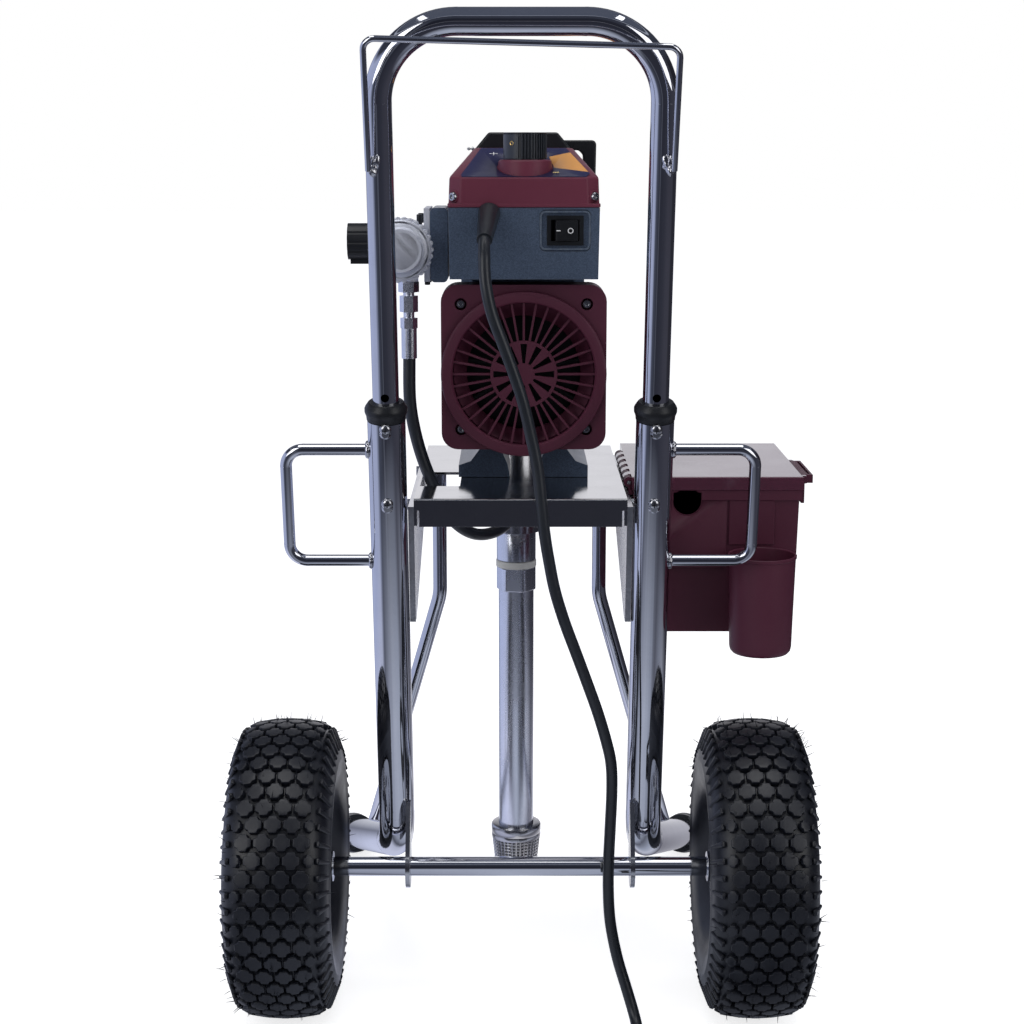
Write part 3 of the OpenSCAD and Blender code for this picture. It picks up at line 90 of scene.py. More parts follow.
# Panels and gaps of the light tent: degrees round the compass with red, green and blue
TENT: dict[str, tuple[Point, ...]] = {
    "Far": ((-180, 0.95, 0.95, 1), (-168, 0.9, 0.9, 0.98), (-158, 0.24, 0.26, 0.34), (-148, 0.3, 0.34, 0.48),
            (-135, 0.5, 0.56, 0.8), (-62, 0.46, 0.51, 0.7), (-46, 0.06, 0.07, 0.1), (-24, 0.022, 0.025, 0.035),
            (-19, 0.1, 0.11, 0.14), (-14, 0.018, 0.02, 0.03), (22, 0.026, 0.028, 0.04), (58, 0.045, 0.045, 0.06),
            (82, 0.05, 0.05, 0.065), (98, 0.02, 0.02, 0.026), (160, 0.03, 0.028, 0.04), (169, 0.85, 0.85, 0.92),
            (180, 0.95, 0.95, 1)),
    "Near": ((-180, 0.95, 0.95, 1), (-160, 0.8, 0.82, 0.9), (-148, 0.16, 0.17, 0.22), (-136, 0.6, 0.64, 0.84),
             (-84, 0.74, 0.77, 0.95), (-62, 0.62, 0.65, 0.8), (-50, 0.1, 0.11, 0.14), (-36, 0.36, 0.39, 0.48),
             (-6, 0.5, 0.54, 0.64), (24, 0.42, 0.46, 0.56), (42, 0.15, 0.16, 0.2), (66, 0.42, 0.46, 0.56),
             (88, 0.66, 0.69, 0.8), (128, 0.1, 0.1, 0.13), (150, 0.5, 0.5, 0.56), (165, 0.9, 0.9, 0.95),
             (180, 0.95, 0.95, 1)),
}


def at(x: float, y: float, z: float) -> Vector:
    """Turns millimetres from the axle's centre line into the model's frame.

    Args:
        x: Millimetres to the operator's right.
        y: Millimetres away from the operator.
        z: Millimetres above the floor.

    Returns:
        The point in metres.
    """
    return (Vector((x, y, z)) - ORIGIN) * MM


def lean_at(x: float, z: float, dy: float = 0.0) -> Vector:
    """Gives a point on the leaning plane of the two uprights.

    Args:
        x: Millimetres to the operator's right.
        z: Millimetres above the floor.
        dy: Millimetres off the plane, away from the operator.

    Returns:
        The point in millimetres from the axle's centre line.
    """
    return Vector((x, -3.0 - math.tan(LEAN) * (z - 320.6) + dy, z))


class Axis(Enum):
    """The three main directions."""

    X = (1.0, 0.0, 0.0)
    Y = (0.0, 1.0, 0.0)
    Z = (0.0, 0.0, 1.0)

    @property
    def vector(self) -> Vector:
        """The direction as a vector."""
        return Vector(self.value)

    def lay(self, u: float, v: float, place: float) -> Vector:
        """Gives the point (u, v) of a drawing that stands at a place along this axis."""
        return Vector({"X": (place, u, v), "Y": (u, place, v), "Z": (u, v, place)}[self.name])


class Bench:
    """Modelling tools that work the way a modeller's hand does."""

    @staticmethod
    def clear() -> None:
        """Leaves edit mode and deselects everything."""
        if bpy.context.object and bpy.context.object.mode != "OBJECT":
            bpy.ops.object.mode_set(mode="OBJECT")
        bpy.ops.object.select_all(action="DESELECT")

    @classmethod
    def pick(cls, piece: Piece) -> None:
        """Makes one piece the only selected and active one.

        Args:
            piece: The piece.
        """
        cls.clear()
        piece.select_set(True)
        bpy.context.view_layer.objects.active = piece

    @staticmethod
    def hang(name: str, data: bpy.types.ID) -> Piece:
        """Puts a new object with the given data into the scene.

        Args:
            name: Its name.
            data: Its mesh, curve, light or camera.

        Returns:
            The object.
        """
        piece = bpy.data.objects.new(name, data)
        bpy.context.scene.collection.objects.link(piece)
        return piece

    @classmethod
    def turn_to(cls, piece: Piece, axis: Vector, name: str) -> Piece:
        """Turns a piece's own Z to a direction, names it and moves its place into its mesh.

        Args:
            piece: The piece.
            axis: The direction.
            name: Its name.

        Returns:
            The same piece.
        """
        piece.rotation_mode = "QUATERNION"
        piece.rotation_quaternion = axis.to_track_quat("Z", "Y")
        return cls.settle(piece, name)

    @classmethod
    def settle(cls, piece: Piece, name: str) -> Piece:
        """Names a piece and moves its place into its mesh.

        Args:
            piece: The finished piece.
            name: Its name.

        Returns:
            The same piece, with its object at the origin.
        """
        cls.pick(piece)
        bpy.ops.object.transform_apply(location=True, rotation=True, scale=True)
        piece.name = name
        piece.data.name = name
        return piece

    @classmethod
    def edit(cls, piece: Piece, mode: str = "FACE") -> None:
        """Opens a piece in edit mode with nothing selected.

        Args:
            piece: The piece.
            mode: "FACE", "EDGE" or "VERT".
        """
        cls.pick(piece)
        bpy.ops.object.mode_set(mode="EDIT")
        bpy.ops.mesh.select_mode(type=mode)
        bpy.ops.mesh.select_all(action="DESELECT")

    @staticmethod
    def whole() -> None:
        """Selects all of the edited mesh."""
        bpy.ops.mesh.select_all(action="SELECT")

    @staticmethod
    def choose(piece: Piece, test: Callable[[bmesh.types.BMFace], bool], kind: str = "faces") -> int:
        """Selects the parts of the edited mesh that pass a test.

        Args:
            piece: The piece in edit mode.
            test: Says whether a face, edge or vertex is selected.
            kind: "faces", "edges" or "verts".

        Returns:
            The number selected.
        """
        mesh = bmesh.from_edit_mesh(piece.data)
        mesh.normal_update()
        found = [e for e in getattr(mesh, kind) if test(e)]
        for item in found:
            item.select_set(True)
        bmesh.update_edit_mesh(piece.data)
        return len(found)

    @classmethod
    def heal(cls, piece: Piece, gap: float = 1e-6) -> None:
        """Merges doubles, turns the faces outwards and closes edit mode.

        Args:
            piece: The piece.
            gap: Points nearer than this many metres are merged.
        """
        if bpy.context.mode != "EDIT_MESH":
            cls.edit(piece)
        cls.whole()
        bpy.ops.mesh.remove_doubles(threshold=gap)
        bpy.ops.mesh.normals_make_consistent(inside=False)
        bpy.ops.object.mode_set(mode="OBJECT")

    @classmethod
    def modify(cls, piece: Piece, kind: str, **values: object) -> None:
        """Adds a modifier, sets it and applies it.

        Args:
            piece: The piece.
            kind: The modifier's type.
            **values: Its settings.
        """
        cls.pick(piece)
        item = piece.modifiers.new(kind.lower(), kind)
        for key, value in values.items():
            setattr(item, key, value)
        bpy.ops.object.modifier_apply(modifier=item.name)

    @classmethod
    def soften(cls, piece: Piece, width: float, segments: int = 2, angle: float = SHARP,
               slot: int = -1) -> None:
        """Rounds the sharp edges of a piece and smooths its shading.

        Args:
            piece: The piece.
            width: Bevel width in millimetres.
            segments: Steps across the bevel.
            angle: Edges sharper than this many degrees are rounded.
            slot: Material slot of the rounded edges; -1 keeps their neighbours' slot.
        """
        least_smooth = 48.0
        if width:
            cls.modify(piece, "BEVEL", width=width * MM, segments=segments, limit_method="ANGLE",
                       angle_limit=math.radians(angle), use_clamp_overlap=True, material=slot)
        cls.pick(piece)
        bpy.ops.object.shade_smooth_by_angle(angle=math.radians(max(angle, least_smooth) if width else angle))
        if width:
            cls.modify(piece, "WEIGHTED_NORMAL", keep_sharp=True)

    @classmethod
    def copy_node(cls, node: Piece, name: str, width: float, segments: int = 2,
                  angle: float = SHARP, finishes: Sequence[bpy.types.Material] = ()) -> Piece:
        """Takes a copy of a frame node, merges it and rounds its edges.

        Args:
            node: The node's object.
            name: The copy's name.
            width: Bevel width in millimetres.
            segments: Steps across the bevel.
            angle: Edges sharper than this many degrees are rounded.
            finishes: Its finish, and that of its rounded edges if that differs.

        Returns:
            The copy.
        """
        piece = cls.hang(name, node.data.copy())
        piece.data.materials.clear()
        for finish in finishes:
            piece.data.materials.append(finish)
        cls.edit(piece)
        cls.whole()
        bpy.ops.mesh.remove_doubles(threshold=MERGE)
        bpy.ops.mesh.dissolve_limited(angle_limit=math.radians(0.6))
        bpy.ops.object.mode_set(mode="OBJECT")
        cls.soften(piece, width, segments, angle, len(finishes) - 1 if len(finishes) > 1 else -1)
        return piece

    @classmethod
    def rod(cls, name: str, start: Vector, end: Vector, radius: float, sides: int = 32,
            bevel: float = 0.4) -> Piece:
        """Makes a round rod with rounded ends.

        Args:
            name: The piece's name.
            start: One end, in millimetres.
            end: The other end, in millimetres.
            radius: Radius in millimetres.
            sides: Number of sides.
            bevel: Rounding of its ends in millimetres.

        Returns:
            The rod.
        """
        cls.clear()
        a, b = at(*start), at(*end)
        bpy.ops.mesh.primitive_cylinder_add(vertices=sides, radius=radius * MM, depth=(b - a).length,
                                            location=(a + b) / 2)
        piece = cls.turn_to(bpy.context.object, b - a, name)
        cls.soften(piece, bevel)
        return piece

    @classmethod
    def slab(cls, name: str, low: Point, high: Point, bevel: float = 0.5, segments: int = 2) -> Piece:
        """Makes a rounded slab between two corners.

        Args:
            name: The piece's name.
            low: One corner in millimetres.
            high: The opposite corner.
            bevel: Rounding of its edges in millimetres.
            segments: Steps across the rounding.

        Returns:
            The slab.
        """
        cls.clear()
        a, b = at(*low), at(*high)
        bpy.ops.mesh.primitive_cube_add(size=1, location=(a + b) / 2, scale=b - a)
        piece = cls.settle(bpy.context.object, name)
        cls.soften(piece, bevel, segments)
        return piece

    @classmethod
    def lathe(cls, name: str, profile: Outline, centre: Point, axis: Vector,
              steps: int = 64, closed: bool = False) -> Piece:
        """Turns a profile round an axis.

        Args:
            name: The piece's name.
            profile: Points (radius, distance along the axis) in millimetres.
            centre: The axis' foot in millimetres.
            axis: The axis' direction.
            steps: Steps round the axis.
            closed: Whether the profile's last point joins its first.

        Returns:
            The turned piece.
        """
        moves = [(MM * (r1 - r0), 0.0, MM * (h1 - h0)) for (r0, h0), (r1, h1) in zip(profile, profile[1:])]
        piece = cls.chain(Vector((profile[0][0], 0, profile[0][1])) * MM, moves)
        if closed:
            bpy.ops.mesh.select_all(action="DESELECT")
            count = len(profile)
            cls.choose(piece, lambda v: v.index in (0, count - 1), "verts")
            bpy.ops.mesh.edge_face_add()
            cls.whole()
        bpy.ops.mesh.spin(steps=steps, angle=math.tau, center=(0, 0, 0), axis=(0, 0, 1))
        cls.heal(piece, MERGE)
        piece.location = at(*centre)
        cls.turn_to(piece, axis, name)
        cls.soften(piece, 0.0)
        return piece

    @classmethod
    def chain(cls, first: Vector, moves: Iterable[Point]) -> Piece:
        """Draws a chain of points and leaves it selected in edit mode.

        Args:
            first: The first point in metres.
            moves: The way from each point to the next.

        Returns:
            The piece.
        """
        cls.clear()
        bpy.ops.mesh.primitive_plane_add(size=MM)
        piece = bpy.context.object
        cls.edit(piece, "VERT")
        cls.whole()
        bpy.ops.mesh.merge(type="CENTER")
        bpy.ops.transform.translate(value=first)
        for move in moves:
            bpy.ops.mesh.extrude_region_move(TRANSFORM_OT_translate={"value": move})
        cls.whole()
        return piece

    @classmethod
    def trace(cls, spots: Sequence[Vector]) -> Piece:
        """Draws a chain of points given in millimetres and leaves it selected in edit mode."""
        line = [at(*spot) for spot in spots]
        return cls.chain(line[0], [end - start for start, end in zip(line, line[1:])])

    @classmethod
    def plate(cls, name: str, outline: Outline, low: float, high: float,
              way: Axis = Axis.Y, bevel: float = 0.4, segments: int = 2) -> Piece:
        """Cuts a plate out of an outline.

        Args:
            name: The piece's name.
            outline: Its corners in millimetres: (x, z) across Y, (y, z) across X, (x, y) across Z.
            low: Where it begins along the axis.
            high: Where it ends.
            way: The axis across it.
            bevel: Rounding of its edges in millimetres.
            segments: Steps across the rounding.

        Returns:
            The plate.
        """
        piece = cls.trace([way.lay(u, v, low) for u, v in outline])
        bpy.ops.mesh.edge_face_add()
        bpy.ops.mesh.extrude_region_move(TRANSFORM_OT_translate={"value": way.vector * (high - low) * MM})
        cls.heal(piece)
        piece.name = piece.data.name = name
        cls.soften(piece, bevel, segments)
        return piece

    @classmethod
    def hull(cls, name: str, spots: Sequence[Point], bevel: float = 1.0, segments: int = 3) -> Piece:
        """Wraps a solid tightly round corners.

        Args:
            name: The piece's name.
            spots: The corners in millimetres.
            bevel: Rounding of its edges in millimetres.
            segments: Steps across the rounding.

        Returns:
            The solid.
        """
        piece = cls.trace([Vector(spot) for spot in spots])
        bpy.ops.mesh.convex_hull()
        cls.whole()
        bpy.ops.mesh.dissolve_limited(angle_limit=math.radians(1))
        cls.heal(piece)
        piece.name = piece.data.name = name
        cls.soften(piece, bevel, segments)
        return piece

    @classmethod
    def cut(cls, piece: Piece, *cutters: Piece) -> Piece:
        """Cuts pieces out of a piece and removes the cutters.

        Args:
            piece: The piece.
            *cutters: What is cut out of it.

        Returns:
            The same piece.
        """
        for cutter in cutters:
            cls.modify(piece, "BOOLEAN", operation="DIFFERENCE", solver="EXACT", object=cutter)
            bpy.data.objects.remove(cutter)
        return piece

    @classmethod
    def copies(cls, piece: Piece, places: Iterable[Matrix]) -> list[Piece]:
        """Copies a finished piece to new places, each with its own mesh.

        Args:
            piece: The model piece; it stays where it is.
            places: One matrix in the model's frame for each copy.

        Returns:
            The copies.
        """
        made = []
        for place in places:
            made.append(cls.hang(piece.name, piece.data.copy()))
            made[-1].data.transform(place)
        return made

    @classmethod
    def repeat(cls, model: Piece, places: Iterable[Matrix]) -> list[Piece]:
        """Copies a piece to new places and removes the piece itself.

        Args:
            model: The model piece.
            places: One matrix in the model's frame for each copy.

        Returns:
            The copies.
        """
        made = cls.copies(model, places)
        bpy.data.objects.remove(model)
        return made

    @classmethod
    def join(cls, name: str, pieces: Sequence[Piece]) -> Piece:
        """Joins pieces into one object.

        Args:
            name: The joined piece's name.
            pieces: The pieces.

        Returns:
            The joined piece.
        """
        cls.pick(pieces[0])
        for piece in pieces[1:]:
            piece.select_set(True)
        if len(pieces) > 1:
            bpy.ops.object.join()
        joined = bpy.context.object
        joined.name = joined.data.name = name
        return joined

    @classmethod
    def ring_bead(cls, name: str, centre: Point, axis: Vector, radius: float, thick: float,
                  lumps: int, seed: int) -> Piece:
        """Makes a weld bead: a ring with the overlapping ripples of a weld.

        Args:
            name: The piece's name.
            centre: Its centre in millimetres.
            axis: The direction of its hole.
            radius: Centre-line radius in millimetres.
            thick: Radius of the bead in millimetres.
            lumps: Ripples round the ring.
            seed: Seed of its unevenness.

        Returns:
            The bead.
        """
        cls.clear()
        bpy.ops.mesh.primitive_torus_add(major_segments=lumps * 6, minor_segments=10, major_radius=radius * MM,
                                         minor_radius=thick * MM, location=(0, 0, 0))
        piece = bpy.context.object
        rng = random.Random(seed)
        swell = [1 + rng.uniform(-0.12, 0.2) for _ in range(lumps)]
        for vertex in piece.data.vertices:
            x, y, z = vertex.co
            turn = math.atan2(y, x) / math.tau * lumps
            phase = turn - math.floor(turn)
            grow = swell[int(math.floor(turn)) % lumps] * (0.82 + 0.3 * math.sqrt(max(phase, 0.0)))
            spoke = Vector((x, y, 0)).normalized() * radius * MM
            vertex.co = spoke + (Vector((x, y, z)) - spoke) * grow
        piece.location = at(*centre)
        cls.turn_to(piece, axis, name)
        bpy.ops.object.shade_smooth()
        return piece

    @classmethod
    def curve(cls, name: str, points: Sequence[Vector], radius: float, sides: int = 6) -> Piece:
        """Makes a round cord along points in metres.

        Args:
            name: The cord's name.
            points: Its centre line.
            radius: Its radius in millimetres.
            sides: Resolution round it.

        Returns:
            The curve object.
        """
        data = bpy.data.curves.new(name, "CURVE")
        data.dimensions = "3D"
        data.bevel_depth = radius * MM
        data.bevel_resolution = sides
        data.use_fill_caps = True
        line = data.splines.new("POLY")
        line.points.add(len(points) - 1)
        for spot, place in zip(line.points, points):
            spot.co = (*place, 1.0)
        line.use_smooth = True
        return cls.hang(name, data)


def smooth_route(points: Sequence[Vector], steps: int) -> list[Vector]:
    """Runs a smooth line through points.

    Args:
        points: The points.
        steps: Steps between two points.

    Returns:
        The points of the line.
    """
    last = len(points) - 1
    line = []
    for i in range(last):
        a, b, c, d = points[max(i - 1, 0)], points[i], points[i + 1], points[min(i + 2, last)]
        for s in range(steps):
            t = s / steps
            line.append(0.5 * ((2 * b) + (c - a) * t + (2 * a - 5 * b + 4 * c - d) * t * t
                               + (3 * b - a - 3 * c + d) * t ** 3))
    line.append(points[last].copy())
    return line


def rounded(corners: Outline, radius: float, steps: int = 5) -> Outline:
    """Rounds the corners of an outline.

    Args:
        corners: The outline's corners.
        radius: Radius of every corner.
        steps: Steps round each corner.

    Returns:
        The rounded outline.
    """
    line = []
    for i, spot in enumerate(corners):
        here = Vector(spot)
        back = (Vector(corners[i - 1]) - here).normalized()
        on = (Vector(corners[(i + 1) % len(corners)]) - here).normalized()
        half = back.angle(on) / 2
        centre = here + (back + on).normalized() * (radius / math.sin(half))
        reach = radius / math.tan(half)
        first, last = here + back * reach - centre, here + on * reach - centre
        line += [tuple(centre + first.normalized().slerp(last.normalized(), s / steps) * radius)
                 for s in range(steps + 1)]
    return line


def arc(centre: tuple[float, float], radius: float, start: float, end: float, steps: int) -> Outline:
    """Gives points along an arc, its angles in degrees."""
    turns = [math.radians(start + (end - start) * s / steps) for s in range(steps + 1)]
    return [(centre[0] + radius * math.cos(t), centre[1] + radius * math.sin(t)) for t in turns]


def spin_about(centre: Point, axis: Axis, degrees: float) -> Matrix:
    """Gives a turn about an axis through a point in millimetres."""
    spot = at(*centre)
    return Matrix.Translation(spot) @ Matrix.Rotation(math.radians(degrees), 4, axis.name) @ Matrix.Translation(-spot)


class Wiring:
    """A node tree under construction, with short ways to add and join nodes."""

    def __init__(self, tree: bpy.types.NodeTree) -> None:
        """Starts wiring an empty tree."""
        self.tree = tree
        self.spot = 0

    def add(self, kind: str, inputs: dict[str | int, object] | None = None, **values: object) -> bpy.types.Node:
        """Adds a node.

        Args:
            kind: Its type, without the leading "ShaderNode".
            inputs: Values, or sockets to join, by input name or number.
            **values: Its own settings.

        Returns:
            The node.
        """
        node = self.tree.nodes.new(kind if kind.startswith("NodeGroup") else "ShaderNode" + kind)
        node.location = (self.spot * 180 - 900, -(self.spot % 4) * 160)
        self.spot += 1
        for key, value in values.items():
            setattr(node, key, value)
        for key, value in (inputs or {}).items():
            self.feed(node.inputs[key], value)
        return node

    def feed(self, socket: Output, value: object) -> None:
        """Joins a socket to an output, or sets its value.

        Args:
            socket: The input.
            value: An output to join to it, or its value.
        """
        if isinstance(value, Output):
            self.tree.links.new(value, socket)
        else:
            socket.default_value = value

    def sum(self, kind: str, a: object, b: object = 0.0, c: object = 0.0, clamp: bool = False) -> Output:
        """Adds one step of arithmetic and returns its result."""
        node = self.add("Math", {0: a, 1: b, 2: c}, operation=kind, use_clamp=clamp)
        return node.outputs[0]

    def times(self, a: object, b: object) -> Output:
        """Multiplies two values."""
        return self.sum("MULTIPLY", a, b)

    def plus(self, a: object, b: object) -> Output:
        """Adds two values."""
        return self.sum("ADD", a, b)

    def minus(self, a: object, b: object) -> Output:
        """Takes the second value from the first."""
        return self.sum("SUBTRACT", a, b)

    def scaled(self, a: object, b: object, c: object) -> Output:
        """Multiplies two values and adds a third."""
        return self.sum("MULTIPLY_ADD", a, b, c)

    def noise(self, scale: float | Output, detail: float = 3.0, vector: object = None,
              rough: float = 0.55) -> Output:
        """Adds a noise on object coordinates and returns its value.

        Args:
            scale: Lumps to the metre.
            detail: Layers of finer lumps.
            vector: Where it is looked up; the place on the model by default.
            rough: Weight of the finer layers.

        Returns:
            Its value.
        """
        vector = vector or self.place()
        return self.add("TexNoise", {"Vector": vector, "Scale": scale, "Detail": detail,
                                     "Roughness": rough}).outputs["Fac"]

    def place(self) -> Output:
        """Returns the object coordinates."""
        return self.add("TexCoord").outputs["Object"]

    def split(self, vector: object = None) -> tuple[Output, ...]:
        """Returns the three parts of a vector, of the object coordinates by default."""
        node = self.add("SeparateXYZ", {0: vector or self.place()})
        return node.outputs[0], node.outputs[1], node.outputs[2]

    def ramp(self, value: Output, low: float, high: float, a: object = 0.0,
             b: object = 1.0) -> Output:
        """Maps a value from one range to another, clamped."""
        return self.add("MapRange", {"Value": value, "From Min": low, "From Max": high, "To Min": a,
                                     "To Max": b}).outputs[0]

    def blend(self, mask: object, a: object, b: object) -> Output:
        """Mixes two colours by a mask.

        Args:
            mask: How much of the second colour shows, from 0 to 1.
            a: The first colour.
            b: The second colour.

        Returns:
            The mixed colour.
        """
        node = self.add("Mix", data_type="RGBA", clamp_factor=True)
        for i, value in ((0, mask), (6, a), (7, b)):
            self.feed(node.inputs[i], value)
        return node.outputs[2]

    def group(self, tree: bpy.types.NodeTree, **inputs: object) -> bpy.types.bpy_prop_collection:
        """Places a shared effect with its own values.

        Args:
            tree: The effect.
            **inputs: Its inputs; an underscore stands for a space.

        Returns:
            Its outputs.
        """
        node = self.add("Group", node_tree=tree)
        for key, value in inputs.items():
            self.feed(node.inputs[key.replace("_", " ")], value)
        return node.outputs

    @classmethod
    def on(cls, owner: bpy.types.Material | bpy.types.World) -> Wiring:
        """Starts wiring a material or a world afresh.

        Args:
            owner: The material or world.

        Returns:
            Its wiring.
        """
        owner.use_nodes = True
        owner.node_tree.nodes.clear()
        return cls(owner.node_tree)


class Socket(Enum):
    """Kinds of socket on a shared effect."""

    NUMBER = "NodeSocketFloat"
    COLOUR = "NodeSocketColor"
    VECTOR = "NodeSocketVector"

    @classmethod
    def of(cls, value: object) -> Socket:
        """Gives the kind of socket that holds a value."""
        return cls.NUMBER if isinstance(value, float) else cls.COLOUR if len(value) == 4 else cls.VECTOR


def once(build: Callable[[Effects], None]) -> Callable[[Effects], bpy.types.NodeTree]:
    """Lets an effect be built on its first use only.

    Args:
        build: The method that builds the effect.

    Returns:
        The method that gives the effect.
    """
    def effect(self: Effects) -> bpy.types.NodeTree:
        """Gives the effect.

        Returns:
            The effect's node group.
        """
        if build.__name__ not in self.made:
            build(self)
        return self.made[build.__name__]
    return effect


class Effects:
    """Shared effects, each a node group that is built once."""

    def __init__(self) -> None:
        """Starts with no effect built."""
        self.made: dict[str, bpy.types.NodeTree] = {}

    def start(self, name: str, takes: dict[str, object], *gives: str
              ) -> tuple[Wiring, dict[str, Output], dict[str, Output]]:
        """Opens a new effect.

        Args:
            name: Its name.
            takes: First value of each input; it also says the input's kind.
            *gives: Names of the outputs.

        Returns:
            Its wiring, its inputs and the sockets of its results, both by name.
        """
        tree = bpy.data.node_groups.new(name, "ShaderNodeTree")
        for key, value in takes.items():
            socket = tree.interface.new_socket(key, in_out="INPUT", socket_type=Socket.of(value).value)
            socket.default_value = value
        for key in gives:
            kind = Socket.COLOUR if key in ("Colour", "Near", "Far") else Socket.NUMBER
            tree.interface.new_socket(key, in_out="OUTPUT", socket_type=kind.value)
        w = Wiring(tree)
        source = w.add("NodeGroupInput")
        self.made[name] = tree
        return w, {key: source.outputs[key] for key in takes}, w.add("NodeGroupOutput").inputs

    @once
    def mottle(self) -> None:
        """Uneven tone: darkens and lightens a colour in soft patches and fine grain."""
        w, i, out = self.start("mottle", {"Colour": (0.5, 0.5, 0.5, 1), "Patch": 14.0, "Grain": 900.0, "Tone": 0.15,
                                          "Rough": 0.4, "Rough spread": 0.1}, "Colour", "Roughness", "Height")
        grain = w.noise(i["Grain"], 2)
        both = w.plus(w.times(w.noise(i["Patch"], 4), 0.65), w.times(grain, 0.35))
        lift = w.scaled(w.minus(both, 0.5), w.times(i["Tone"], 4.0), 1.0)
        w.feed(out["Colour"], w.add("HueSaturation", {"Color": i["Colour"], "Value": lift}).outputs[0])
        w.feed(out["Roughness"], w.scaled(w.minus(both, 0.5), w.times(i["Rough spread"], 4.0), i["Rough"]))
        w.feed(out["Height"], grain)

    @once
    def stipple(self) -> None:
        """The fine leather-like texture of a moulding tool, as a height."""
        w, i, out = self.start("stipple", {"Size": 0.0009}, "Height")
        scale = w.sum("DIVIDE", 1.0, i["Size"])
        cells = w.add("TexVoronoi", {"Vector": w.place(), "Scale": scale}, feature="SMOOTH_F1").outputs[0]
        fine = w.noise(w.times(scale, 1.7), 2)
        w.feed(out["Height"], w.scaled(cells, 0.7, w.times(fine, 0.5)))

    @once
    def smudge(self) -> None:
        """Handling marks on bright metal: cloudy smears and thin scratches."""
        w, i, out = self.start("smudge", {"Rough": 0.08, "Smear": 0.12, "Scratch": 0.2},
                               "Roughness", "Height", "Mark")
        cloud = w.ramp(w.noise(26.0, 5, rough=0.65), 0.5, 0.78)
        lines = []
        for turn, size, low in (((0.3, 0.2, 0.5), (900, 900, 22), 0.7), ((0.9, 0.4, 1.9), (700, 24, 700), 0.71)):
            laid = w.add("Mapping", {"Vector": w.place(), "Rotation": turn, "Scale": size}).outputs[0]
            lines.append(w.ramp(w.noise(1.0, 2, laid), low, 0.78))
        mark = w.times(w.sum("MAXIMUM", *lines), w.ramp(w.noise(9.0, 2), 0.42, 0.62))
        w.feed(out["Roughness"], w.scaled(mark, i["Scratch"], w.scaled(cloud, i["Smear"], i["Rough"])))
        w.feed(out["Height"], w.times(mark, -1.0))
        w.feed(out["Mark"], w.sum("MAXIMUM", mark, w.times(cloud, 0.35)))

    @once
    def dust(self) -> None:
        """A mask of dust that settles on faces that look up; it also paints a sheen on them."""
        w, i, out = self.start("dust", {"Amount": 0.3, "Patch": 45.0}, "Mask")
        up = w.ramp(w.split(w.add("NewGeometry").outputs["Normal"])[2], 0.1, 1.0)
        speck = w.ramp(w.noise(i["Patch"], 6, rough=0.7), 0.42, 0.75)
        w.feed(out["Mask"], w.times(w.scaled(up, 0.75, 0.25), w.times(speck, i["Amount"])))

    @once
    def flake(self) -> None:
        """The sparkle of metal flakes in a paint, as a tone and a height."""
        w, i, out = self.start("flake", {"Size": 0.0006, "Strength": 0.4}, "Tone", "Height")
        cells = w.add("TexVoronoi", {"Vector": w.place(), "Scale": w.sum("DIVIDE", 1.0, i["Size"])}).outputs
        w.feed(out["Tone"], w.scaled(w.minus(w.split(cells["Color"])[0], 0.5), i["Strength"], 1.0))
        w.feed(out["Height"], cells["Distance"])

    @once
    def rub(self) -> None:
        """A broken mask for paint that is rubbed off along an edge."""
        w, i, out = self.start("rub", {"Amount": 0.5, "Break": 160.0}, "Mask")
        w.feed(out["Mask"], w.times(w.ramp(w.noise(i["Break"], 5, rough=0.65), 0.4, 0.62), i["Amount"]))

    @once
    def tent(self) -> None:
        """The light tent that bright metal mirrors: panels and gaps round the compass, by direction."""
        w, i, out = self.start("tent", {"Towards": (0, 0, 0)}, "Near", "Far")
        x, y, _ = w.split(i["Towards"])
        compass = w.scaled(w.sum("ARCTAN2", x, w.times(y, -1.0)), 1 / math.tau, 0.5)
        for name, stops in TENT.items():
            node = w.add("ValToRGB", {"Fac": compass})
            ramp = node.color_ramp
            while len(ramp.elements) < len(stops):
                ramp.elements.new(0.5)
            for element, (turned, *colour) in zip(ramp.elements, stops):
                element.position = turned / 360 + 0.5
                element.color = (*colour, 1)
            w.feed(out[name], node.outputs[0])


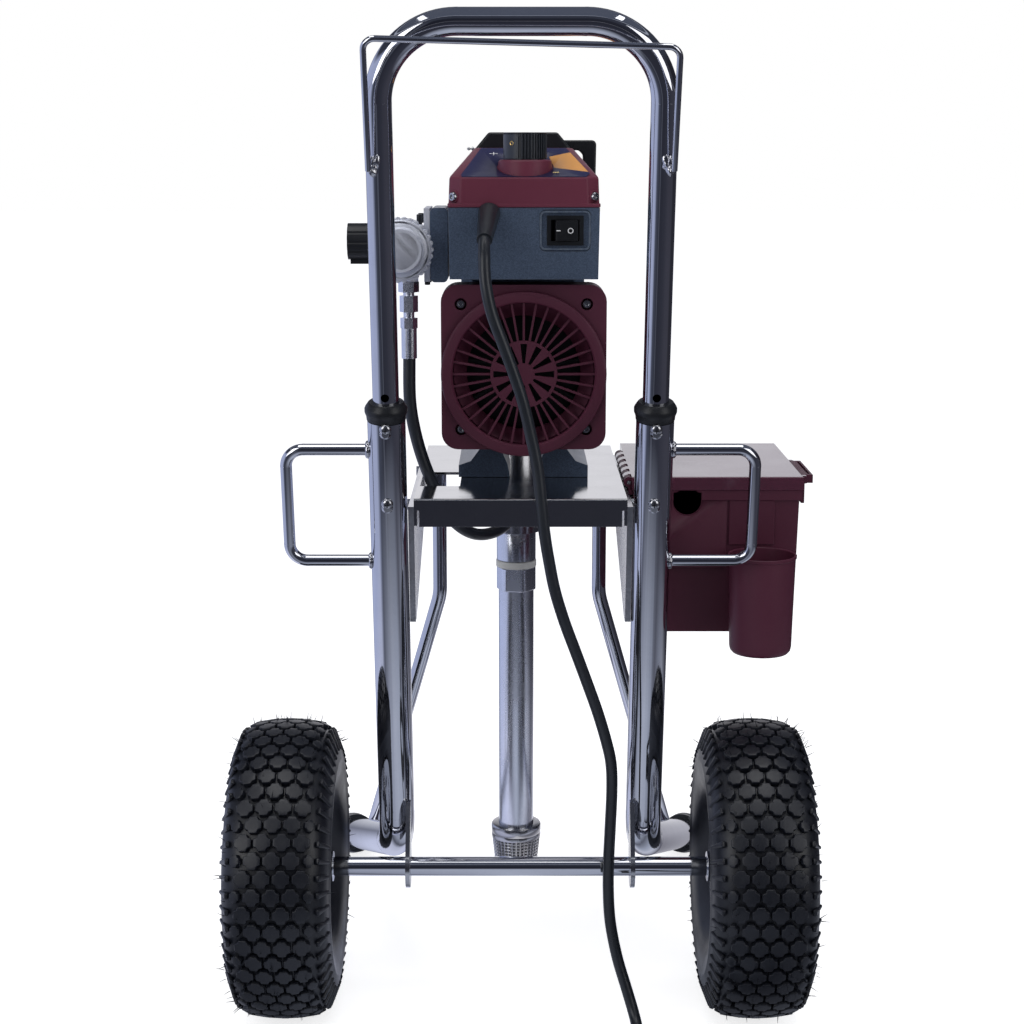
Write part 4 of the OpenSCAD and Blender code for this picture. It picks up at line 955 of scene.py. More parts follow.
@dataclass(frozen=True)
class Finish:
    """What every finish has: a name, a main colour and a roughness."""

    name: str
    colour: Colour
    rough: float

    def open(self) -> tuple[bpy.types.Material, Wiring, bpy.types.Node]:
        """Opens the finish's material.

        Returns:
            The material, its wiring and its main shader.
        """
        material = bpy.data.materials.new(self.name)
        w = Wiring.on(material)
        shader = w.add("BsdfPrincipled", {"Base Color": (*self.colour, 1), "Roughness": self.rough})
        w.add("OutputMaterial", {"Surface": shader.outputs[0]})
        return material, w, shader

    def tone(self, w: Wiring, fx: Effects, patch: float, grain: float, tone: float, spread: float,
             colour: Output | None = None) -> bpy.types.bpy_prop_collection:
        """Makes the finish's own colour and roughness uneven.

        Args:
            w: The wiring.
            fx: The shared effects.
            patch: Patches to the metre.
            grain: Grains to the metre.
            tone: How far the tone strays.
            spread: How far the roughness strays.
            colour: Another colour to start from.

        Returns:
            The outputs of the mottle effect.
        """
        return w.group(fx.mottle(), Colour=colour or (*self.colour, 1), Patch=patch, Grain=grain, Tone=tone,
                       Rough=self.rough, Rough_spread=spread)

    @staticmethod
    def bump(w: Wiring, shader: bpy.types.Node, height: object, depth: float, strength: float = 1.0,
             under: object = None) -> Output:
        """Adds a bump to the shader's normal.

        Args:
            w: The wiring.
            shader: The main shader.
            height: The height's output.
            depth: Depth in millimetres.
            strength: Strength from 0 to 1.
            under: A normal below it.

        Returns:
            The bumped normal.
        """
        node = w.add("Bump", {"Height": height, "Distance": depth * MM, "Strength": strength})
        if under is not None:
            w.feed(node.inputs["Normal"], under)
        w.feed(shader.inputs["Normal"], node.outputs[0])
        return node.outputs[0]


@dataclass(frozen=True)
class BrightMetal(Finish):
    """Plated or polished metal with smears and fine scratches."""

    smear: float = 0.1
    scratch: float = 0.2
    tint: float = 0.06
    grain: float = 0.0
    wave: float = 0.0

    def make(self, fx: Effects) -> bpy.types.Material:
        """Builds the material.

        Args:
            fx: The shared effects.

        Returns:
            The material.
        """
        material, w, shader = self.open()
        shader.inputs["Metallic"].default_value = 1.0
        marks = w.group(fx.smudge(), Rough=self.rough, Smear=self.smear, Scratch=self.scratch)
        tone = self.tone(w, fx, 30.0, 420.0, self.tint, 0.04)
        dull = (*[c * 0.62 for c in self.colour], 1)
        w.feed(shader.inputs["Base Color"], w.blend(w.times(marks["Mark"], 0.35), tone["Colour"], dull))
        w.feed(shader.inputs["Roughness"], marks["Roughness"])
        under = self.bump(w, shader, marks["Height"], 0.02, 0.5)
        if self.grain:
            under = self.bump(w, shader, tone["Height"], self.grain, 0.6, under)
        if self.wave:
            self.bump(w, shader, w.noise(7.0, 2), self.wave, 0.5, under)
        return material


@dataclass(frozen=True)
class MouldedPlastic(Finish):
    """Moulded plastic with a tool texture, rubbed edges, and dust with a painted sheen on faces that look up."""

    texture: float = 0.0009
    depth: float = 0.05
    blotch: float = 0.1
    dust: float = 0.12
    # Colour of the dust and of the painted sheen on faces that look up.
    sheen: Colour = (0.5, 0.5, 0.5)
    shine: float = 0.4
    rubbed: float = 0.0
    coat: float = 0.0

    def make(self, fx: Effects) -> bpy.types.Material:
        """Builds the material.

        Args:
            fx: The shared effects.

        Returns:
            The material.
        """
        material, w, shader = self.open()
        shader.inputs["Coat Weight"].default_value = self.coat
        shader.inputs["Coat IOR"].default_value = 1.9
        shader.inputs["Coat Roughness"].default_value = 0.12
        tone = self.tone(w, fx, 18.0, 700.0, self.blotch, 0.07)
        shader.inputs["Specular IOR Level"].default_value = self.shine
        edge = w.group(fx.rub(), Amount=self.rubbed, Break=120.0)[0]
        light = tuple(min(1.0, c * 1.9 + 0.02) for c in self.colour)
        rubbed = w.blend(edge, tone["Colour"], (*light, 1))
        # Dust and a painted sheen lighten the faces that look up.
        dust = w.group(fx.dust(), Amount=self.dust, Patch=70.0)[0]
        w.feed(shader.inputs["Base Color"], w.blend(dust, rubbed, (*self.sheen, 1)))
        w.feed(shader.inputs["Roughness"], w.scaled(dust, 0.4, tone["Roughness"]))
        self.bump(w, shader, w.group(fx.stipple(), Size=self.texture)[0], self.depth, 0.55)
        return material


@dataclass(frozen=True)
class Rubber(Finish):
    """Black rubber, smooth or chalky, with a chalky deposit and a painted sheen on faces that look up."""

    patch: float = 22.0
    grain: float = 0.08
    bloom: float = 0.25
    # Colour of the chalky deposit and of the painted sheen on faces that look up.
    sheen: Colour = (0.16, 0.15, 0.14)

    def make(self, fx: Effects) -> bpy.types.Material:
        """Builds the material.

        Args:
            fx: The shared effects.

        Returns:
            The material.
        """
        material, w, shader = self.open()
        tone = self.tone(w, fx, self.patch, 800.0, 0.22, 0.12)
        # A chalky deposit and a painted sheen lighten the faces that look up.
        bloom = w.group(fx.dust(), Amount=self.bloom, Patch=120.0)[0]
        w.feed(shader.inputs["Base Color"], w.blend(bloom, tone["Colour"], (*self.sheen, 1)))
        w.feed(shader.inputs["Roughness"], tone["Roughness"])
        shader.inputs["Specular IOR Level"].default_value = 0.55
        self.bump(w, shader, tone["Height"], self.grain, 0.6)
        return material


@dataclass(frozen=True)
class FlakePaint(Finish):
    """Metallic paint on a casting: flakes under a clear coat, worn at the edges."""

    flake: float = 0.0007
    strength: float = 0.5
    cast: float = 0.12
    metal: float = 0.25
    rubbed: float = 0.0

    def make(self, fx: Effects) -> bpy.types.Material:
        """Builds the material.

        Args:
            fx: The shared effects.

        Returns:
            The material.
        """
        material, w, shader = self.open()
        shader.inputs["Metallic"].default_value = self.metal
        shader.inputs["Coat Weight"].default_value = 0.25
        shader.inputs["Coat Roughness"].default_value = 0.22
        tone = self.tone(w, fx, 25.0, 500.0, 0.05, 0.06)
        spark = w.group(fx.flake(), Size=self.flake, Strength=self.strength)
        lit = w.add("HueSaturation", {"Color": tone["Colour"], "Value": spark["Tone"]}).outputs[0]
        edge = w.group(fx.rub(), Amount=self.rubbed, Break=200.0)[0]
        w.feed(shader.inputs["Base Color"], w.blend(edge, lit, (0.16, 0.19, 0.23, 1)))
        w.feed(shader.inputs["Roughness"], tone["Roughness"])
        under = self.bump(w, shader, w.noise(240.0, 3), self.cast, 0.45)
        self.bump(w, shader, spark["Height"], 0.03, 0.3, under)
        return material


@dataclass(frozen=True)
class PanelFilm(Finish):
    """The printed film on the sloping panel: a navy field with one light sector beside the dial."""

    sector: Colour = (0.72, 0.34, 0.1)
    corners: Outline = ((42.2, 61.8), (24.8, 50.8), (28.6, 23.0), (57.1, 12.7))

    def make(self, fx: Effects) -> bpy.types.Material:
        """Builds the material.

        Args:
            fx: The shared effects.

        Returns:
            The material.
        """
        material, w, shader = self.open()
        shader.inputs["Coat Weight"].default_value = 0.15
        shader.inputs["Coat Roughness"].default_value = 0.2
        shader.inputs["Specular IOR Level"].default_value = 0.3
        x, y, _ = w.split()
        masks = []
        for start, end in zip(self.corners, self.corners[1:]):
            a, b = at(*start, 0), at(*end, 0)
            side = w.times(w.minus(y, a.y), b.x - a.x)
            masks.append(w.sum("GREATER_THAN", side, w.times(w.minus(x, a.x), b.y - a.y)))
        wedge = w.times(w.times(masks[0], masks[1]), masks[2])
        lit = w.blend(wedge, (*self.colour, 1), (*self.sector, 1))
        tone = self.tone(w, fx, 60.0, 1500.0, 0.06, 0.05, lit)
        w.feed(shader.inputs["Base Color"], tone["Colour"])
        w.feed(shader.inputs["Roughness"], tone["Roughness"])
        self.bump(w, shader, tone["Height"], 0.01, 0.3)
        return material


@dataclass(frozen=True)
class WovenWire(Finish):
    """Woven wire cloth round an upright axis, with the gaps between the wires painted dark as shade."""

    centre: tuple[float, float] = (-3.0, 284.0)
    pitch: float = 2.6
    radius: float = 20.0

    def make(self, fx: Effects) -> bpy.types.Material:
        """Builds the material.

        Args:
            fx: The shared effects.

        Returns:
            The material.
        """
        material, w, shader = self.open()
        shader.inputs["Metallic"].default_value = 1.0
        spot = at(*self.centre, 0)
        x, y, z = w.split()
        dx, dy = w.minus(x, spot.x), w.minus(y, spot.y)
        around = w.times(w.sum("ARCTAN2", dy, dx), self.radius * MM)
        step = math.tau / (self.pitch * MM)
        a = w.sum("SINE", w.times(around, step))
        b = w.sum("SINE", w.times(z, step))
        wire = w.sum("MAXIMUM", w.sum("ABSOLUTE", a), w.sum("ABSOLUTE", b))
        mask = w.ramp(wire, 0.6, 0.9)
        # Painted shade: the gaps between the wires are nearly black.
        w.feed(shader.inputs["Base Color"], w.blend(mask, (0.03, 0.03, 0.032, 1), (*self.colour, 1)))
        w.feed(shader.inputs["Roughness"], w.ramp(mask, 0.0, 1.0, 0.7, self.rough))
        self.bump(w, shader, wire, 0.5, 0.9)
        return material


class Finishes:
    """The sprayer's finishes, by the record's slot names and a few more."""

    def __init__(self) -> None:
        """Builds every finish."""
        fx = self.effects = Effects()
        maroon = MouldedPlastic("maroon_plastic", (0.078, 0.0150, 0.034), 0.46, texture=0.0008, depth=0.03,
                                blotch=0.05, dust=0.03, sheen=(0.3, 0.2, 0.2), shine=0.32)
        black = MouldedPlastic("black_plastic", (0.009, 0.010, 0.013), 0.36, texture=0.0007, depth=0.025, blotch=0.08,
                               dust=0.04, sheen=(0.2, 0.2, 0.2))
        # A lighter copy of the maroon plastic for the control cover: painted light on its sloping front, where the fan
        # guard's maroon stays darker.
        cover = replace(maroon, name="maroon_cover", colour=(0.14, 0.0262, 0.0505), rough=0.42)
        gloss = replace(maroon, name="maroon_gloss", rough=0.2, shine=1.0, coat=0.48)
        slate = FlakePaint("slate_paint", (0.070, 0.099, 0.156), 0.38)
        recipes = (
            BrightMetal("chrome", (0.66, 0.67, 0.72), 0.045, smear=0.06, scratch=0.12, tint=0.04, wave=0.12),
            BrightMetal("zinc_plate", (0.58, 0.585, 0.61), 0.2, smear=0.15, scratch=0.2, tint=0.1, grain=0.03),
            BrightMetal("platform_steel", (0.58, 0.575, 0.575), 0.1, smear=0.1, scratch=0.2, tint=0.08, wave=0.2),
            BrightMetal("cast_alloy", (0.62, 0.62, 0.64), 0.26, smear=0.12, scratch=0.1, tint=0.08, grain=0.1),
            BrightMetal("machined_steel", (0.52, 0.52, 0.54), 0.2, smear=0.1, scratch=0.1, tint=0.06, grain=0.03),
            BrightMetal("winding", (0.2, 0.06, 0.025), 0.35, smear=0.1, scratch=0.1, tint=0.2, grain=0.2),
            BrightMetal("bronze", (0.55, 0.38, 0.18), 0.34, smear=0.1, scratch=0.1, tint=0.12, grain=0.08),
            BrightMetal("brass", (0.62, 0.42, 0.16), 0.2, smear=0.1, scratch=0.1, tint=0.08, grain=0.02),
            BrightMetal("weld_metal", (0.62, 0.62, 0.65), 0.14, smear=0.2, scratch=0.0, tint=0.25, grain=0.3),
            BrightMetal("sawn_steel", (0.42, 0.42, 0.44), 0.36, smear=0.2, scratch=0.3, tint=0.3, grain=0.6),
            BrightMetal("brushed_steel", (0.78, 0.80, 0.87), 0.24, smear=0.1, scratch=0.2, tint=0.06, wave=0.1),
            Rubber("tyre_rubber", (0.0062, 0.0078, 0.0135), 0.4, patch=30, grain=0.12, bloom=0.08),
            Rubber("black_rubber", (0.013, 0.016, 0.022), 0.34, patch=18, grain=0.03, bloom=0.05),
            black, replace(black, name="black_plastic_edge", rubbed=0.5),
            replace(black, name="dial_plastic", colour=(0.02, 0.024, 0.032), rough=0.3, shine=0.6),
            maroon, replace(maroon, name="maroon_plastic_edge", rubbed=0.45),
            cover, replace(cover, name="maroon_cover_edge", rubbed=0.5),
            gloss, replace(gloss, name="maroon_gloss_edge", rubbed=0.4),
            # Its lighter rubbed colour also covers the whole switch rim, as worn paint and a painted highlight.
            slate, replace(slate, name="slate_paint_edge", rubbed=0.7),
            BrightMetal("satin_alloy", (0.88, 0.90, 0.97), 0.58, smear=0.06, scratch=0.1, tint=0.05, grain=0.03),
            PanelFilm("label_film", (0.020, 0.021, 0.075), 0.36),
            MouldedPlastic("white_seal", (0.72, 0.72, 0.7), 0.42, texture=0.001, depth=0.02, blotch=0.05),
            MouldedPlastic("white_ink", (0.7, 0.7, 0.72), 0.5, texture=0.001, depth=0.01, blotch=0.04),
            MouldedPlastic("yellow_ink", (0.66, 0.5, 0.2), 0.5, texture=0.001, depth=0.01, blotch=0.04),
            WovenWire("filter_mesh", (0.5, 0.48, 0.44), 0.35, pitch=1.2, radius=9.0, centre=(-101.2, 28.0)),
        )
        self.by_name = {recipe.name: recipe.make(fx) for recipe in recipes}

    def coat(self, piece: Piece, name: str) -> Piece:
        """Gives a piece one finish all over.

        Args:
            piece: The piece.
            name: The finish's name.

        Returns:
            The same piece.
        """
        slots = piece.data.materials
        if len(slots):
            for i in range(len(slots)):
                slots[i] = self.by_name[name]
        else:
            slots.append(self.by_name[name])
        return piece


@dataclass
class Shop:
    """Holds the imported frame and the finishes, and fits pieces to both."""

    frame: dict
    finishes: Finishes
    made: list[str] = field(default_factory=list)

    def __post_init__(self) -> None:
        """Reads which body and which slot each node belongs to."""
        record = self.frame["record"]
        self.body = {n: b for b, nodes in record["behaviour"]["bodies"].items() for n in nodes}
        self.slot = {part["node"]: part["material_slot"] for part in record["subparts"]}

    def dress_nodes(self) -> None:
        """Gives every frame node the finish of its slot."""
        for name, node in self.frame["nodes"].items():
            self.finishes.coat(node, self.slot[name])
            Bench.pick(node)
            bpy.ops.object.shade_smooth_by_angle(angle=math.radians(SHARP))
        Bench.clear()

    def fit(self, piece: Piece, node: str, finish: str | None = None, stands_for: bool = False,
            also: Sequence[str] = ()) -> Piece:
        """Finishes a piece and fixes it to the body that a node belongs to.

        Args:
            piece: The piece.
            node: The node it stands for or belongs beside.
            finish: Its finish; the node's own by default.
            stands_for: Whether it replaces the node.
            also: Other nodes that it replaces.

        Returns:
            The same piece.
        """
        if finish or not len(piece.data.materials):
            self.finishes.coat(piece, finish or self.slot[node])
        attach(piece, self.body[node])
        if stands_for:
            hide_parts(node, *also)
        self.made.append(piece.name)
        LOG.info("fitted %s on %s", piece.name, self.body[node])
        return piece

    def pair(self, finish: str) -> list[bpy.types.Material]:
        """Gives a finish and, where it has one, the finish of its rubbed edges."""
        names = [finish, finish + "_edge"]
        return [self.finishes.by_name[name] for name in names if name in self.finishes.by_name]

    def refine(self, node: str, width: float, finish: str | None = None, segments: int = 3,
               angle: float = SHARP) -> Piece:
        """Replaces a node by its copy with rounded edges.

        Args:
            node: The node.
            width: Bevel width in millimetres.
            finish: Its finish; the node's own by default.
            segments: Steps across the bevel.
            angle: Edges sharper than this many degrees are rounded.

        Returns:
            The copy.
        """
        piece = Bench.copy_node(self.frame["nodes"][node], "dressed_" + node, width, segments, angle,
                                self.pair(finish or self.slot[node]))
        return self.fit(piece, node, stands_for=True)


@dataclass
class Assembly:
    """A sub-assembly, with short ways to hand its pieces to the shop."""

    shop: Shop

    def stand_in(self, node: str, *pieces: Piece, finish: str | None = None, also: Sequence[str] = ()) -> Piece:
        """Joins pieces into the dressed stand-in of a node.

        Args:
            node: The node.
            *pieces: The pieces.
            finish: Their finish; the node's own by default.
            also: Other nodes that they replace.

        Returns:
            The joined piece.
        """
        return self.shop.fit(Bench.join("dressed_" + node, pieces), node, finish, True, also)

    def beside(self, node: str, name: str, *pieces: Piece, finish: str | None = None) -> Piece:
        """Joins pieces into one that goes with a node and leaves the node's stand-in as it is.

        Args:
            node: The node.
            name: The joined piece's name.
            *pieces: The pieces.
            finish: Their finish; the node's own by default.

        Returns:
            The joined piece.
        """
        return self.shop.fit(Bench.join(name, pieces), node, finish)

    def plain_copy(self, node: str, finish: str | None = None) -> Piece:
        """Takes a copy of a node with no edge rounded yet.

        Args:
            node: The node.
            finish: Its finish; the node's own by default.

        Returns:
            The copy.
        """
        return Bench.copy_node(self.shop.frame["nodes"][node], "dressed_" + node, 0, 1, SHARP,
                               self.shop.pair(finish or self.shop.slot[node]))

    @staticmethod
    def near_side(node: str) -> float:
        """Gives how far away from the operator a node begins, in millimetres."""
        return Vector(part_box(node)[0]).y / MM + ORIGIN.y


@dataclass
class Studio:
    """White surroundings, soft lamps and the camera."""

    finishes: Finishes
    camera_at: tuple[float, float, float] = (-7.3, -1617.3, 772.1)
    pitch: float = 11.02
    lens: float = 66.8

    def build(self) -> None:
        """Sets the whole stage."""
        self.world()
        self.floor()
        self.canopy()
        self.lamps()
        self.camera()

    def world(self) -> None:
        """Makes white surroundings for the eye, and panels and gaps of a light tent for bright metal."""
        world = bpy.data.worlds.new("studio")
        bpy.context.scene.world = world
        w = Wiring.on(world)
        towards = w.add("TexCoord").outputs["Generated"]
        tent = w.group(self.finishes.effects.tent(), Towards=towards)
        _, _, z = w.split(towards)
        high = w.blend(w.ramp(z, 0.3, 0.42), tent["Far"], (0.045, 0.05, 0.07, 1))
        seam = w.times(w.ramp(z, 0.64, 0.66), w.minus(1.0, w.ramp(z, 0.67, 0.69)))
        ceiling = w.blend(w.ramp(z, 0.68, 0.74), high, CEILING)
        lined = w.blend(seam, ceiling, (0.45, 0.48, 0.56, 1))
        low = w.blend(w.ramp(z, -0.05, 0.0), (0.3, 0.3, 0.33, 1), lined)
        around = w.add("Background", {"Color": low, "Strength": 0.95})
        path = w.add("LightPath")
        fill = w.add("Background", {"Color": (0.86, 0.88, 0.94, 1), "Strength": 0.42})
        white = w.add("Background", {"Color": (1, 1, 1, 1), "Strength": 1.0})
        soft = w.add("MixShader", {0: path.outputs["Is Glossy Ray"], 1: fill.outputs[0], 2: around.outputs[0]})
        mixed = w.add("MixShader", {0: path.outputs["Is Camera Ray"], 1: soft.outputs[0], 2: white.outputs[0]})
        w.add("OutputWorld", {"Surface": mixed.outputs[0]})

    @staticmethod
    def coat(piece: Piece) -> Wiring:
        """Gives a piece of the stage a material of its own.

        Args:
            piece: The piece.

        Returns:
            The wiring of the new material.
        """
        piece.data.materials.append(bpy.data.materials.new(piece.name))
        return Wiring.on(piece.data.materials[0])

    def floor(self) -> None:
        """Lays a pale floor that looks white but keeps the shadow."""
        Bench.clear()
        bpy.ops.mesh.primitive_plane_add(size=40)
        floor = Bench.settle(bpy.context.object, "studio_floor")
        w = self.coat(floor)
        path = w.add("LightPath")
        x, y, _ = w.split()
        tent = w.group(self.finishes.effects.tent(), Towards=w.place())
        away = w.sum("SQRT", w.plus(w.sum("POWER", x, 2.0), w.sum("POWER", y, 2.0)))
        mirrored = w.blend(w.ramp(away, 0.45, 1.05), tent["Near"], tent["Far"])
        shader = w.add("BsdfPrincipled", {"Roughness": 0.6, "Specular IOR Level": 0.0})
        glossy = path.outputs["Is Glossy Ray"]
        w.feed(shader.inputs["Base Color"], w.blend(glossy, (0.86, 0.86, 0.87, 1), (0.02, 0.02, 0.025, 1)))
        w.feed(shader.inputs["Emission Color"], w.blend(glossy, (1, 1, 1, 1), mirrored))
        seen = w.times(path.outputs["Is Camera Ray"], 0.74)
        w.feed(shader.inputs["Emission Strength"], w.sum("MAXIMUM", seen, w.times(glossy, 0.95)))
        w.add("OutputMaterial", {"Surface": shader.outputs[0]})

    def canopy(self) -> None:
        """Hangs a dark panel over the handle that only bright metal mirrors."""
        Bench.clear()
        bpy.ops.mesh.primitive_plane_add(size=0.27, location=at(0, -130, 1000))
        canopy = Bench.settle(bpy.context.object, "studio_canopy")
        w = self.coat(canopy)
        glow = w.add("Emission", {"Color": CEILING, "Strength": 1.0})
        w.add("OutputMaterial", {"Surface": glow.outputs[0]})
        for ray in ("camera", "diffuse", "shadow", "transmission"):
            setattr(canopy, "visible_" + ray, False)

    def lamps(self) -> None:
        """Hangs the soft lamps."""
        rigs = (("left_panel", (-1500, -1500, 1350), 1.1, 1.6, 12.0),
                ("right_panel", (1600, -1350, 1250), 1.1, 1.6, 9.0),
                ("top_panel", (0, -200, 2300), 1.8, 1.4, 16.0))
        for name, place, wide, high, power in rigs:
            data = bpy.data.lights.new(name, "AREA")
            data.shape = "RECTANGLE"
            data.size, data.size_y, data.energy = wide, high, power
            lamp = Bench.hang(name, data)
            lamp.location = at(*place)
            aim = at(0, 0, 480) - lamp.location
            lamp.rotation_mode = "QUATERNION"
            lamp.rotation_quaternion = aim.to_track_quat("-Z", "Y")

    def camera(self) -> None:
        """Sets the camera at the operator's eye."""
        data = bpy.data.cameras.new("eye")
        data.lens, data.sensor_width = self.lens, 36.0
        data.clip_end = 100
        eye = Bench.hang("eye", data)
        eye.location = at(*self.camera_at)
        eye.rotation_euler = (math.radians(90 - self.pitch), 0, 0)
        bpy.context.scene.camera = eye
        bpy.context.scene.view_settings.view_transform = "Standard"


@dataclass
class Cords(Assembly):
    """The mains lead with its coil and plug, and the hose of the pump."""

    cord_d: float = 10.0
    exit_at: tuple[float, float, float] = (-26.6, 0.0, 712.8)
    boot_tip: tuple[float, float, float] = (-30.0, -40.0, 692.8)
    cord_x: float = 104.0
    turns: float = 2.375
    inner: float = 44.0
    pitch: float = 12.2
    climb: float = 11.2
    tail: float = 44.0
    hose_d: float = 11.0
    step: float = 7.5
    coil_y: float = -185.0
    lead: tuple[Point, ...] = (
        (-30, -52, 682), (-29, -58, 660), (-24, -60, 635), (-15, -60, 610), (-6, -59, 585), (2, -58, 560),
        (9, -57, 530), (14, -57, 505), (17, -58, 478), (20, -58, 450), (24, -57, 425), (29, -56, 400), (37, -53, 373),
        (47, -49, 345), (57, -45, 317), (67, -42, 288), (75, -39, 260), (79, -36, 240), (80, -33, 215),
        (79, -31, 180), (78, -30, 150), (78, -30, 120), (80, -32, 92), (86, -37, 62), (94, -44, 36), (100, -52, 17),
        (103, -64, 7))
    hose: tuple[Point, ...] = (
        (-96, 20, 590), (-96, 20, 555), (-93, 22, 530), (-87, 30, 503), (-79, 41, 478), (-70, 52, 455), (-58, 66, 434),
        (-42, 82, 421), (-26, 105, 417), (-13, 135, 419), (-6, 165, 425), (-3, 190, 430))

    def lead_route(self) -> list[Vector]:
        """Gives the lead's line from the boot to the coil, in millimetres.

        Returns:
            The points of the line.
        """
        tip = Vector(self.boot_tip)
        into = (tip - Vector(self.exit_at)).normalized()
        low = self.cord_d / 2 + 0.1
        spots = [*self.lead, *((self.cord_x, y, low) for y in (-80, -105, -135))]
        return [tip - into * 5.7, tip] + [Vector(s) for s in spots]

    def coil_route(self) -> list[Vector]:
        """Gives the coil's line, two layers of turns, in millimetres.

        Returns:
            The points of the line.
        """
        low = self.cord_d / 2 + 0.1
        first = self.turns * 360
        centre = (self.cord_x + self.inner + self.pitch * self.turns, self.coil_y)
        line = []
        for k in range(int((2 * first + 180) / self.step) + 1):
            a = k * self.step
            grow = (first - a) / 360 if a < first else 0.0 if a < first + 180 else (a - first - 180) / 360
            up = 0.0 if a < first else (1 - math.cos(math.radians(min(a - first, 180)))) / 2
            r = self.inner + self.pitch * grow
            turn = math.radians(180 + a)
            line.append(Vector((centre[0] + r * math.cos(turn), centre[1] + r * math.sin(turn), low + self.climb * up)))
        lead = line[0] - (line[2] - line[0]).normalized() * self.cord_d
        away = (line[-1] - line[-3]).normalized()
        return [lead] + line + [line[-1] + away * self.cord_d, line[-1] + away * self.tail]

    def mains_lead(self) -> None:
        """Makes the mains lead, one line from the boot to the plug."""
        start = smooth_route(self.lead_route() + [self.coil_route()[0]], 6)
        line = [at(*p) for p in start + self.coil_route()[1:]]
        lead = Bench.curve("mains_lead", line, self.cord_d / 2, 7)
        self.shop.fit(lead, "power_cord", "black_rubber", stands_for=True, also=("cord_coil",))
        plug = self.shop.refine("plug", 1.2, "black_rubber", 3)

    def pump_hose(self) -> None:
        """Makes the hose between the filter's outlet and the pump."""
        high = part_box("pressure_hose")[1]
        spots = [(-96, 20, high[2] / MM - 0.2), *self.hose, (-3, high[1] / MM + ORIGIN.y - 0.2, 430)]
        line = [at(*p) for p in smooth_route([Vector(s) for s in spots], 6)]
        hose = Bench.curve("pump_hose", line, self.hose_d / 2 - 0.06, 7)
        self.shop.fit(hose, "pressure_hose", "black_rubber", stands_for=True)

    def build(self) -> None:
        """Makes all the cords."""
        self.mains_lead()
        self.pump_hose()


